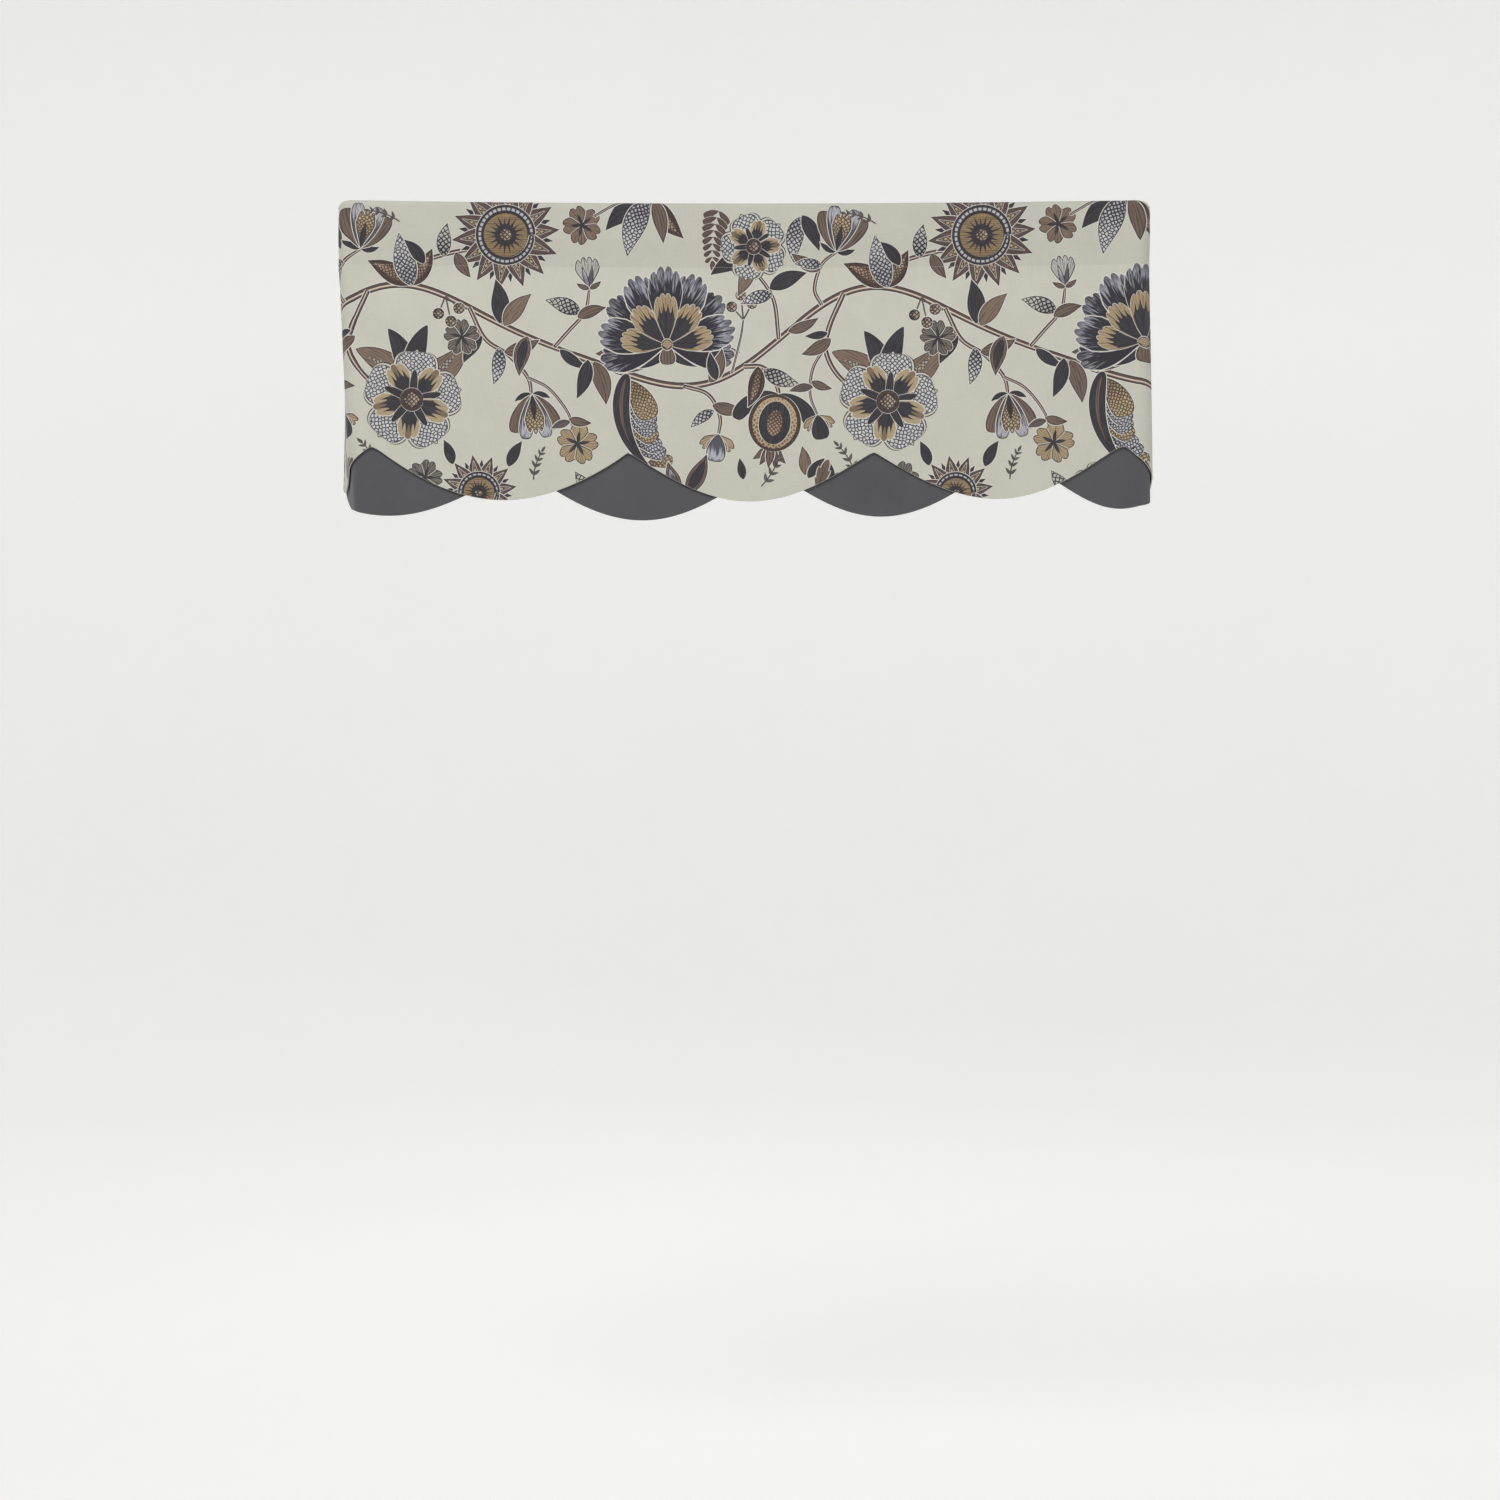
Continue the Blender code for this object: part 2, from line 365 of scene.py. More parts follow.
class Blade:
    """A stem, leaf or petal: a width that swells and shrinks along a curved spine."""

    def __init__(self, spine, width, paint, profile=LEAF, grow=0.0, seed=0.0):
        self.paint, self.seed = paint, seed
        steps = np.linalg.norm(np.diff(spine, axis=0), axis=1)
        far = np.concatenate([[0], np.cumsum(steps)])
        self.length = far[-1]
        count = int(np.clip(self.length / BLADE_STEP, FEWEST_STEPS, MOST_STEPS))
        even = np.arange(count + 1) / count
        share = even - np.sin(2 * math.pi * even) / (2 * math.pi) * 0.75
        self.far = share * self.length
        self.spine = np.stack([np.interp(self.far, far, spine[:, axis]) for axis in (0, 1)], axis=1)
        run = np.gradient(self.spine, self.far, axis=0)
        self.run = run / np.linalg.norm(run, axis=1)[:, None]
        self.left = np.stack([-self.run[:, 1], self.run[:, 0]], axis=1)
        peak = profile.rise / (profile.rise + profile.fall)
        swell = share**profile.rise * (1 - share) ** profile.fall
        self.half = width / 2 * swell / (peak**profile.rise * (1 - peak) ** profile.fall)
        wide = (self.half + grow)[:, None]
        start = self.spine[0] - self.run[0] * grow
        end = self.spine[-1] + self.run[-1] * grow
        left, right = self.spine + self.left * wide, self.spine - self.left * wide
        self.outline = thinned(np.vstack([[start], left, [end], right[::-1]]))

    def locate(self, points):
        """For points on the blade: how far along it and across it, its half width there,
        the room to its tip, and the share of its length."""
        apart = points[:, None, :] - self.spine[None]
        nearest = np.argmin((apart**2).sum(axis=2), axis=1)
        pick = np.arange(len(points))
        offset = apart[pick, nearest]
        far = np.clip(self.far[nearest] + (offset * self.run[nearest]).sum(axis=1), 0, self.length)
        across = (offset * self.left[nearest]).sum(axis=1)
        half = np.interp(far, self.far, self.half)
        return far, across, half, self.length - far, far / self.length


class Shape:
    """A free shape, whose pattern fans out from its base."""

    def __init__(self, outline, base, tip, paint, grow=0.0, seed=0.0):
        self.paint, self.seed = paint, seed
        self.outline = thinned(grown(outline, grow))
        self.spine = np.array([base, tip], dtype=float)

    def locate(self, points):
        """As for a blade, but never near an edge."""
        axis = self.spine[1] - self.spine[0]
        length = np.linalg.norm(axis)
        apart = points - self.spine[0]
        along = apart @ axis / length
        aside = apart @ np.array([-axis[1], axis[0]]) / length
        far = np.hypot(along, aside)
        inner = np.full(len(points), FAR_FROM_EDGE)
        return far, np.arctan2(aside, along) * length * FAN_MIDDLE, inner, inner, far / length


class Design:
    """The print's motifs, from the lowest to the topmost."""

    def __init__(self, seed):
        self.blades = []
        self.draw = random.Random(seed)

    def seed(self):
        return self.draw.random() * 50

    def blade(self, spine, width, paint, profile=LEAF, halo=HALO, doubled=False):
        """A blade on its pale line. A doubled one has a thin dark line around that too."""
        if doubled:
            self.blades.append(Blade(spine, width, "line", profile, grow=OUTER_GAP + OUTER_LINE))
            self.blades.append(Blade(spine, width, "margin", profile, grow=OUTER_GAP))
        elif halo:
            self.blades.append(Blade(spine, width, "halo", profile, grow=halo))
        self.blades.append(Blade(spine, width, paint, profile, seed=self.seed()))

    def stem(self, points, width=7.0, paint="stem", halo=HALO):
        self.blade(smooth(points), width, paint, STEM, halo)

    def leaf(self, base, angle, length, width, paint, bend=18.0, profile=LEAF, halo=HALO, doubled=False):
        self.blade(bent(base, angle, length, bend), width, paint, profile, halo, doubled)

    def banded(self, base, angle, length, width, border, core, bend, fill):
        """A leaf with a core of another paint."""
        spine = bent(base, angle, length, bend)
        self.blade(spine, width, border)
        inner = spine[int(len(spine) * 0.10):int(len(spine) * 0.90)]
        self.blade(inner, width * fill, core, halo=0)

    def outlined(self, outline, base, tip, paint, halo=HALO, rim=True):
        if halo:
            self.blades.append(Shape(outline, base, tip, "halo", grow=halo))
        if rim:
            self.blades.append(Shape(outline, base, tip, "line"))
        self.blades.append(Shape(outline, base, tip, paint, grow=-RIM if rim else 0.0, seed=self.seed()))

    def fan(self, base, angle, length, width, paint, fingers, bend, cut, halo=HALO, rim=False, sharp=False):
        """A petal that widens from its base to a rim of fingers, round or sharp."""
        spine = bent(base, angle, length, bend)
        shoulder = 0.76
        up = np.linspace(0.0, shoulder, 9)[:-1]
        half = width / 2 * np.sin(up / shoulder * math.pi / 2) ** 1.25 + 0.6
        across = np.linspace(-1, 1, fingers * 6 + 1)
        finger = math.pi * fingers * (across + 1) / 2
        notch = np.abs(np.cos(finger)) if sharp else (1 - np.abs(np.sin(finger))) ** 1.5
        rise = shoulder + (1 - shoulder) * (1 - np.abs(across) ** 2.2) ** 0.6 - cut * notch
        outline = np.vstack([
            beside(spine, up, -half),
            beside(spine, rise, across * width / 2),
            beside(spine, up[::-1], half[::-1]),
        ])
        self.outlined(outline, spine[0], spine[-1], paint, halo, rim)

    def fans(self, base, petals, paint, cut=0.06, halo=HALO, between=0.0):
        """Petals about one base, with one pale line round them all."""
        for angle, length, width, fingers, bend in petals:
            self.fan(base, angle, length, width, "halo", fingers, bend, cut, halo)
        for angle, length, width, fingers, bend in petals:
            self.fan(base, angle, length, width, paint, fingers, bend, cut, between)

    def spot(self, centre, radius, paint, halo=0.0):
        spine = np.array([centre, centre], dtype=float) + np.array([[-radius, 0], [radius, 0]])
        self.blade(spine, 2 * radius, paint, OVAL, halo)

    def ring(self, centre, radius, width, paint, halo=0.0):
        self.blade(circle(centre, radius), width, paint, STEM, halo)

    def sprig(self, base, angle, length, pairs, leaflet, paint, bend=30.0, open_angle=42.0):
        """A thin stalk with pairs of leaflets and one at its tip."""
        spine = bent(base, angle, length, bend)
        self.blade(spine, 1.8, "line", STEM, 0)
        for k in range(pairs):
            place = 0.22 + 0.72 * k / max(pairs - 1, 1)
            point = spine[int(place * (len(spine) - 1))]
            here = angle - bend / 2 + bend * place
            size = leaflet * (1.0 - 0.35 * place)
            for side in (-1, 1):
                self.leaf(point, here + side * open_angle, size, size * 0.36, paint, side * 14, halo=0)
        self.leaf(spine[-1], angle + bend / 2, leaflet * 0.8, leaflet * 0.3, paint, 0, halo=0)

    def fern(self, base, angle, length, pairs, leaflet, paint, bend=25.0):
        """A close frond: broad leaflets that shorten towards the tip."""
        spine = bent(base, angle, length, bend)
        for k in range(pairs):
            place = 0.08 + 0.84 * k / (pairs - 1)
            point = spine[int(place * (len(spine) - 1))]
            here = angle - bend / 2 + bend * place
            size = leaflet * (1.05 - 0.55 * place)
            for side in (-1, 1):
                heading = here + side * 52
                self.leaf(point, heading, size, size * 0.46, paint, side * -18, PETAL, FINE_HALO)
        self.leaf(spine[-2], angle + bend / 2, leaflet * 0.8, leaflet * 0.36, paint, 0, halo=FINE_HALO)

    def flamed(self, base, angle, length, width, bend):
        """A gold petal with a ragged dark heart."""
        self.fan(base, angle, length, width, "gold", 4, bend, 0.09, halo=0.6)
        length, width, bend = length * 0.84, width * 0.76, bend * 0.84
        self.fan(base, angle, length, width, "charcoal", 4, bend, 0.24, halo=0, sharp=True)

    def lobed(self, base, angle, length, width, paint, lobes, bend):
        """A leaf cut into pointed lobes, up to its tip."""
        spine = bent(base, angle, length, bend)
        share = np.linspace(0.0, 1.0, lobes * 6 + 1)
        swell = np.sin(math.pi * share**0.8) ** 0.8 + 0.04
        tooth = (share * lobes) % 1.0
        half = width / 2 * swell * (0.62 + 0.38 * tooth**0.8)
        reach = share + 0.5 / lobes * tooth * swell * 0.6
        outline = np.vstack([beside(spine, reach, -half), beside(spine, reach[::-1], half[::-1])])
        self.outlined(outline, spine[0], spine[-1], paint, rim=False)
        self.blade(spine[:int(len(spine) * 0.85)], 1.5, "line", TAPER, 0)


# ---------------------------------------------------------------- the repeat

REPEAT = 649.0
REPEAT_START = -557.0  # the repeat begins at this s


def repeat():
    """One repeat of the print, with x from 0 to REPEAT and y down from 0 at the top edge.

    It is the builder's own arrangement of ordinary flowers and leaves along a winding stem.
    """
    d = Design(11)
    vine_and_branches(d)
    above_the_crest(d)
    under_the_crest(d)
    over_the_trough(d)
    under_the_trough(d)
    between_the_bends(d)
    along_the_hem(d)
    return d.blades


VINE_MIDDLE = -186
VINE_RISE = 64


def vine(x):
    """A point of the main stem. It comes back to the same height after each repeat."""
    turn = 2 * math.pi * x / REPEAT
    return x, VINE_MIDDLE + VINE_RISE * math.cos(turn - 1.1) + 12 * math.sin(2 * turn + 0.6)


def rosette(d, centre, size, tilt):
    """Five broad stippled petals, and five gold ones with dark hearts before them."""
    for k in range(5):
        d.leaf(centre, tilt + 72 * k, size, size * 0.84, "scales", 6, PETAL, doubled=True)
    for k in range(5):
        angle = tilt + 36 + 72 * k
        d.fan(centre, angle, size * 0.82, size * 0.46, "gold_petal", 3, 4, 0.08)
        d.fan(centre, angle, size * 0.72, size * 0.34, "charcoal", 4, 4, 0.28, halo=0, sharp=True)
        d.leaf(centre, angle - 36, size * 0.62, size * 0.16, "charcoal", 4, OVAL, 0.5)
    d.spot(centre, size * 0.24, "dark_brown", halo=0.6)
    d.spot(centre, size * 0.17, "dotted_dark")


def carnation(d, base, lean, size):
    """A fringed flower seen from the side: dark petals, with gold ones at its heart."""
    for side in (-1, 1):
        d.leaf(base, lean + side * 128, size * 0.50, size * 0.17, "charcoal", side * -50, HORN)
    step = 25
    outer = [(lean + k * step, size * (1.0 - 0.03 * abs(k)), size * 0.40, 3, -5 * k)
             for k in (-4, 4, -2, 2)]
    inner = [(lean + k * step, size * (1.02 - 0.04 * abs(k)), size * 0.44, 4, -6 * k)
             for k in (-3, 3, -1, 1, 0)]
    d.fans(base, outer, "tips", halo=1.5, between=0.6)
    d.fans(base, inner, "streaked", 0.08, halo=1.5, between=0.7)
    for k in (-3, 3, -1.5, 1.5, 0):
        d.flamed(base, lean + k * 26, size * (0.66 - 0.02 * abs(k)), size * 0.30, -7 * k)
    d.leaf(base, lean + 180, size * 0.26, size * 0.20, "brown", 0, PETAL)
    d.spot(base, size * 0.07, "gold", halo=1.2)


def daisy(d, centre, size, rays, tilt):
    """Pointed rays round a beaded ring and a gold disc."""
    step = 360 / rays
    for k in range(rays):
        d.leaf(centre, tilt + step * (k + 0.5), size * 0.88, size * 0.25, "charcoal", 0, LEAF)
    for k in range(rays):
        d.leaf(centre, tilt + step * k, size, size * 0.36, "red_brown", 0, LEAF)
        d.leaf(centre, tilt + step * k, size * 0.84, size * 0.16, "gold_scales", 0, LEAF, 0.6)
    d.ring(centre, size * 0.48, size * 0.15, "charcoal", halo=0.8)
    d.ring(centre, size * 0.48, size * 0.08, "beads")
    d.spot(centre, size * 0.41, "dull_gold")
    ticks = 19
    for k in range(ticks):
        length = size * (0.36 + 0.03 * math.sin(k * 2.3))
        d.leaf(centre, 360 / ticks * k, length, size * 0.07, "charcoal", 0, HORN, 0)
    d.spot(centre, size * 0.20, "charcoal")
    d.spot(centre, size * 0.12, "dotted_dark")


def tulip(d, base, angle, size):
    """A cup of brown, grey and gold petals, between two dark sepals."""
    for side in (-1, 1):
        d.leaf(base, angle + side * 74, size * 0.46, size * 0.15, "charcoal", side * -54)
        d.leaf(base, angle + side * 30, size, size * 0.36, "brown", side * -34, PETAL)
    for side in (-1, 1):
        d.leaf(base, angle + side * 14, size * 1.06, size * 0.34, "steel", side * -12, PETAL)
    d.fan(base, angle, size * 0.92, size * 0.46, "gold_scales", 3, 0, 0.16, rim=True)
    d.leaf(base, angle, size * 0.62, size * 0.14, "charcoal", 0, LEAF, 0)


def pomegranate(d, base, angle, size):
    """A round stippled fruit with a dark heart and a crown of small leaves."""
    along = np.array([math.cos(math.radians(angle)), math.sin(math.radians(angle))]) * size
    base = np.array(base)
    for turn in (-44, 44, -22, 22, 0):
        d.leaf(base + along * 0.98, angle + turn, size * 0.48, size * 0.17, "brown", turn * 0.5)
    for side in (-1, 1):
        d.leaf(base, angle + side * 52, size * 1.02, size * 0.30, "charcoal", side * -70, PETAL)
    d.leaf(base, angle, size * 1.12, size * 1.02, "dark_brown", 0, OVAL)
    d.leaf(base + along * 0.05, angle, size * 1.02, size * 0.90, "stippled_gold", 0, OVAL, 0)
    d.leaf(base + along * 0.14, angle, size * 0.84, size * 0.62, "charcoal", 0, OVAL, 0.8)
    d.leaf(base + along * 0.30, angle, size * 0.52, size * 0.30, "dotted", 0, OVAL, 0)


def plume(d, base, angle, length, bend, side, paint):
    """A curled leaf with round lobes on one side of a dark keel."""
    spine = bent(base, angle, length, bend)
    lobes = 7
    for k in reversed(range(lobes)):
        place = 0.06 + 0.84 * k / (lobes - 1)
        size = length * (0.44 - 0.22 * place)
        heading = angle + bend * (place - 0.5)
        point = spine[int(place * (len(spine) - 1))]
        fill = paint if k % 3 else "gold_scales"
        d.leaf(point, heading + side * 50, size, size * 0.52, fill, side * -34, PETAL)
    d.blade(spine, length * 0.15, "charcoal", DROP)
    d.blade(spine[2:int(len(spine) * 0.8)], length * 0.045, "brown", DROP, 0)


def blossom(d, centre, size, tilt, paint="gold"):
    """A small flower of five notched petals with dark veins."""
    for k in range(5):
        d.fan(centre, tilt + 72 * k, size, size * 0.88, paint, 2, 0, 0.16, 0.8, rim=True)
    for k in range(5):
        d.leaf(centre, tilt + 72 * k, size * 0.64, size * 0.17, "charcoal", 0, LEAF, 0)


def bud(d, base, angle, size, paint="charcoal"):
    """A closed flower between gold bracts."""
    for turn in (-48, 48, -18, 18):
        d.fan(base, angle + turn, size * 0.78, size * 0.46, "gold", 2, 0, 0.16, 0.8, rim=True)
    d.leaf(base, angle, size, size * 0.70, paint, 0, PETAL)


def bell(d, base, angle, size):
    """A pale bell with a grey throat."""
    d.fan(base, angle, size, size * 0.78, "bell", 4, 0, 0.14, rim=True)
    d.leaf(base, angle - 12, size * 0.76, size * 0.16, "steel", 8, LEAF, 0)
    d.leaf(base, angle + 12, size * 0.76, size * 0.16, "pale", -8, LEAF, 0)
    for side in (-1, 1):
        d.leaf(base, angle + side * 62, size * 0.44, size * 0.18, "brown", side * -30)


def berries(d, base, angle, size):
    """Three dotted berries on thin stalks."""
    for turn, reach in ((-34, 1.0), (0, 1.35), (36, 0.95)):
        far = math.radians(angle + turn)
        centre = (base[0] + math.cos(far) * size * reach, base[1] + math.sin(far) * size * reach)
        d.stem([base, centre], 2.2, "leaflet", 0)
        d.spot(centre, size * 0.30, "dotted_dark", halo=1.2)


def vine_and_branches(d):
    """The winding stem and the stalks that leave it."""
    d.stem([vine(x) for x in range(-20, 350, 18)], 9.5)
    d.stem([vine(x) for x in range(322, 650, 18)] + [vine(650)], 9.5)
    # sheaths over the stem's joints
    d.leaf(vine(-32), 24, 46, 15, "brown", 24)
    d.leaf(vine(306), -34, 46, 15, "charcoal", 26)
    d.stem([vine(44), (24, -170), (20, -206), (44, -244), (96, -268)], 7)
    d.stem([vine(96), (120, -84), (160, -70), (200, -64)], 6.5)
    d.stem([vine(182), (204, -188), (236, -210), (262, -240), (268, -268)], 6)
    d.stem([vine(298), (318, -176), (340, -150), (346, -118)], 5)
    d.stem([vine(384), (412, -226), (440, -212), (452, -190)], 8)
    d.stem([vine(474), (508, -262), (524, -292), (522, -318)], 5.5)
    d.stem([vine(556), (584, -226), (602, -252), (604, -270)], 6.5)
    d.stem([vine(604), (598, -136), (580, -104), (560, -86)], 5.5)
    d.stem([vine(14), (4, -118), (14, -84), (36, -66)], 5)
    d.stem([(20, -196), (2, -226), (-2, -262), (8, -290)], 4)
    d.stem([(262, -240), (292, -256), (318, -290), (324, -318)], 4)


def above_the_crest(d):
    """Flowers and leaves between the stem's crest and the top edge."""
    daisy(d, (232, -46), 74, 14, 6)
    tulip(d, (34, -66), 78, 58)
    d.leaf((12, -92), 150, 46, 18, "brown", -20)
    d.leaf((14, -86), 176, 38, 15, "scales", 20)
    for angle, length, width in [(150, 66, 27), (58, 60, 25)]:
        d.banded(vine(100), angle, length, width, "dark_brown", "dotted", 20, 0.46)
    d.leaf(vine(104), 104, 74, 30, "scales", -14)
    d.leaf((120, -86), 130, 42, 17, "charcoal", 30)
    d.leaf((148, -76), 84, 46, 20, "net", -24)
    d.leaf((164, -70), 300, 40, 17, "brown", 24)
    d.sprig((88, -30), 160, 44, 4, 12, "leaflet")


def under_the_crest(d):
    """A large rosette, a tulip and a bud below the stem, with leaves and berries."""
    base = (104, -256)
    for angle, length, width, paint, bend in [(146, 94, 36, "tan", 34), (38, 96, 38, "tan", 34),
                                              (112, 88, 30, "charcoal", 34), (76, 90, 30, "charcoal", -34)]:
        d.leaf(base, angle, length, width, paint, bend, BROAD)
    d.leaf(base, 146, 76, 13, "fine_scales", 26, LEAF, 0)
    d.leaf(base, 38, 78, 13, "fine_scales", 26, LEAF, 0)
    rosette(d, (104, -272), 66, 12)
    d.leaf((26, -186), 208, 46, 18, "brown", -30)
    d.leaf((22, -178), 188, 32, 11, "charcoal", -20)
    bud(d, (8, -290), 280, 34)
    d.leaf((2, -252), 190, 34, 12, "leaflet", 24)
    d.leaf((0, -244), -20, 30, 12, "brown", 30)
    tulip(d, (268, -264), 276, 58)
    d.leaf((222, -200), 262, 52, 19, "scales", -34)
    d.leaf((230, -206), 20, 52, 20, "brown", 30)
    d.leaf((200, -184), 236, 46, 18, "charcoal", 30)
    d.leaf(vine(224), 96, 62, 25, "charcoal", 26)
    d.leaf(vine(230), 50, 58, 23, "tan", -24)
    d.banded(vine(262), 258, 56, 22, "brown", "charcoal", 24, 0.60)
    blossom(d, (172, -186), 25, 20, "dusky")
    berries(d, vine(150), 282, 26)


def over_the_trough(d):
    """A fringed flower and a bell in the bend of the stem, under hanging leaves."""
    d.banded((430, -218), 172, 78, 30, "brown", "charcoal", 30, 0.62)
    d.banded((470, -216), 8, 84, 32, "brown", "charcoal", -30, 0.62)
    carnation(d, (452, -194), 92, 106)
    bell(d, (346, -118), 96, 44)
    d.leaf((334, -152), 160, 52, 22, "net", 24)
    d.leaf((330, -158), 20, 42, 17, "brown", -26)
    d.leaf((430, 6), 216, 78, 30, "charcoal", 36)
    d.banded((430, 4), 310, 70, 27, "dark_brown", "dotted", 18, 0.46)
    d.leaf((426, 4), 250, 84, 32, "scales", 30)
    d.leaf((434, 4), 282, 62, 20, "brown", -20)
    blossom(d, (336, -32), 27, 40, "tan")
    d.stem([(352, -20), (376, -6), (400, 6)], 3.5)
    d.fern((524, -8), 262, 74, 8, 22, "fern_brown", 24)
    berries(d, (556, -160), 96, 25)
    d.stem([vine(540), (552, -186), (556, -160)], 3)


def between_the_bends(d):
    """Motifs about the rising part of the stem."""
    d.leaf((566, -72), 206, 62, 24, "charcoal", 30)
    d.leaf((566, -72), 252, 60, 22, "tan", -26)
    rosette(d, (570, -60), 44, 40)
    d.leaf((592, -118), 24, 56, 23, "charcoal", -24)
    d.leaf((596, -126), 196, 46, 19, "scales", 26)
    d.leaf((634, -20), 262, 64, 24, "scales", 30)
    d.leaf((636, -18), 296, 54, 20, "charcoal", -20)
    pomegranate(d, (604, -262), 262, 70)
    d.leaf((584, -228), 338, 54, 22, "net", 30)
    d.banded((576, -224), 256, 58, 22, "dark_brown", "dotted", -30, 0.46)
    d.leaf(vine(510), 70, 50, 20, "brown", 28)
    d.leaf(vine(520), 104, 40, 15, "charcoal", -20)


def under_the_trough(d):
    """A curled plume, a blossom and a bud below the stem."""
    plume(d, vine(398), 286, 150, 78, 1, "curled_scales")
    d.leaf(vine(352), 286, 62, 24, "brown", -30)
    d.leaf(vine(344), 254, 56, 20, "charcoal", -24)
    blossom(d, (330, -330), 29, 10)
    d.leaf((318, -296), 350, 32, 13, "brown", 24)
    d.leaf((320, -300), 200, 28, 11, "leaflet", 20)
    bud(d, (522, -316), 262, 38, "steel")
    d.leaf((514, -276), 350, 46, 18, "brown", 26)
    d.leaf((516, -284), 216, 40, 15, "scales", 26)


def along_the_hem(d):
    """Sprigs, small leaves and part flowers low on the cloth."""
    daisy(d, (196, -398), 52, 12, 10)
    d.leaf((160, -360), 110, 36, 15, "charcoal", 20)
    d.leaf((236, -362), 62, 40, 16, "charcoal", -20)
    d.sprig((60, -372), 120, 46, 4, 14, "leaflet")
    d.sprig((270, -380), 74, 40, 4, 13, "leaflet", -30)
    d.lobed((30, -410), 100, 58, 26, "charcoal", 3, 16)
    d.lobed((8, -392), 70, 44, 20, "brown", 3, -10)
    blossom(d, (122, -378), 25, 0, "dusky")
    rosette(d, (396, -398), 42, 20)
    d.leaf((352, -398), 130, 40, 18, "net", -20)
    d.sprig((580, -388), 58, 46, 4, 14, "leaflet", 24)
    d.banded((478, -396), 62, 60, 24, "brown", "charcoal", 20, 0.60)
    d.banded((470, -396), 112, 46, 19, "brown", "steel", -20, 0.60)
    d.leaf((556, -378), 100, 30, 12, "charcoal", 0, halo=0.6)
    d.leaf((640, -372), 96, 40, 17, "tan", 20)
    d.leaf((644, -376), 50, 36, 14, "charcoal", -16)


# ---------------------------------------------------------------- paints

PLAIN, SCALES, TIPS, FANNED, RIBS, LINED, LINES = range(7)

GROUND = (196, 195, 183)
INK = (56, 52, 58)
Paint = namedtuple("Paint", "main accent style amount inked", defaults=(0.0, 1.0))
PAINTS = {
    "ground": Paint(GROUND, GROUND, PLAIN, 0.0, 0.0),
    "halo": Paint((213, 209, 201), (202, 198, 189), PLAIN, 0.0, 0.0),
    "margin": Paint((203, 200, 190), (192, 188, 178), PLAIN, 0.0, 0.0),
    "line": Paint((70, 61, 63), (86, 76, 75), PLAIN, 0.0, 0.0),
    "stem": Paint((92, 74, 69), (206, 192, 176), LINED, 0.17),
    "charcoal": Paint((54, 52, 56), (72, 70, 76), LINES, 3.0, 0.5),
    "tips": Paint((54, 52, 59), (176, 176, 185), TIPS, 0.80, 0.6),
    "streaked": Paint((54, 52, 59), (168, 168, 178), TIPS, 0.74, 0.6),
    "gold": Paint((168, 149, 120), (116, 97, 76), LINES, 3.0),
    "stippled_gold": Paint((184, 162, 130), (88, 72, 62), SCALES, 4.8),
    "dull_gold": Paint((148, 126, 96), (96, 79, 64), LINES, 3.0),
    "gold_petal": Paint((170, 152, 123), (124, 106, 86), FANNED, 9.0),
    "gold_scales": Paint((86, 72, 62), (190, 170, 138), SCALES, 4.2),
    "scales": Paint((62, 60, 69), (212, 212, 212), SCALES, 4.8),
    "curled_scales": Paint((58, 57, 66), (194, 195, 201), SCALES, 4.2),
    "net": Paint((54, 51, 56), (200, 198, 192), SCALES, 5.2),
    "fine_scales": Paint((76, 66, 63), (184, 174, 160), SCALES, 4.4, 0.4),
    "brown": Paint((114, 98, 88), (80, 67, 62), LINES, 4.0),
    "tan": Paint((128, 110, 96), (96, 81, 72), LINES, 4.0),
    "red_brown": Paint((98, 80, 78), (78, 64, 63), LINES, 4.0),
    "dark_brown": Paint((70, 57, 54), (92, 76, 70), LINES, 4.0),
    "dotted": Paint((84, 67, 61), (178, 154, 132), SCALES, 4.0, 0.3),
    "dotted_dark": Paint((74, 62, 60), (182, 168, 146), SCALES, 4.4),
    "beads": Paint((74, 69, 76), (184, 183, 188), RIBS, 6.5),
    "steel": Paint((86, 84, 94), (176, 176, 182), TIPS, 0.55),
    "pale": Paint((128, 126, 132), (190, 188, 190), TIPS, 0.50),
    "bell": Paint((188, 186, 180), (112, 110, 111), LINES, 2.6),
    "dusky": Paint((82, 77, 73), (142, 136, 128), LINES, 3.0),
    "leaflet": Paint((84, 76, 76), (112, 102, 98), LINES, 3.0, 0.3),
    "fern_brown": Paint((88, 72, 68), (112, 94, 86), LINES, 3.2, 0.4),
}


def linear(colour):
    """A colour of 0 to 255 as light."""
    share = np.array(colour) / 255
    return np.where(share <= 0.04045, share / 12.92, ((share + 0.055) / 1.055) ** 2.4)


# ---------------------------------------------------------------- cutting the print into the cloth

# Steps and margins in mm
COLUMN_STEP = 13.0
CORNER_STEP = 2.4
ROW_STEP = 13.0
ROLL_STEP = 2.6
NARROWING_STEP = 7.0
HANGING_STEP = 9.0
PUCKER_STEP = 4.0
OVERLAY_HEM_STEP = 6.0
PETTICOAT_HEM_STEP = 4.0
BEND_STEP = 2.6
BEND_MARGIN = 3.0
MERGE = 0.03
GROOVE_ROWS = (-3.4, -2.0, -1.0, 0.0, 1.0, 2.0, 3.4)  # from the seam
PUCKER_ROWS = (-14.0, -8.0, 0.0, 8.0, 14.0)
# In metres, before and after a corner's bend
CORNER_LEAD, CORNER_TRAIL = 0.016, 0.020


def between(low, high, step):
    """Even places from low to high, about a step apart."""
    count = max(int(round((high - low) / step)), 1)
    return low + (high - low) * np.arange(count + 1) / count


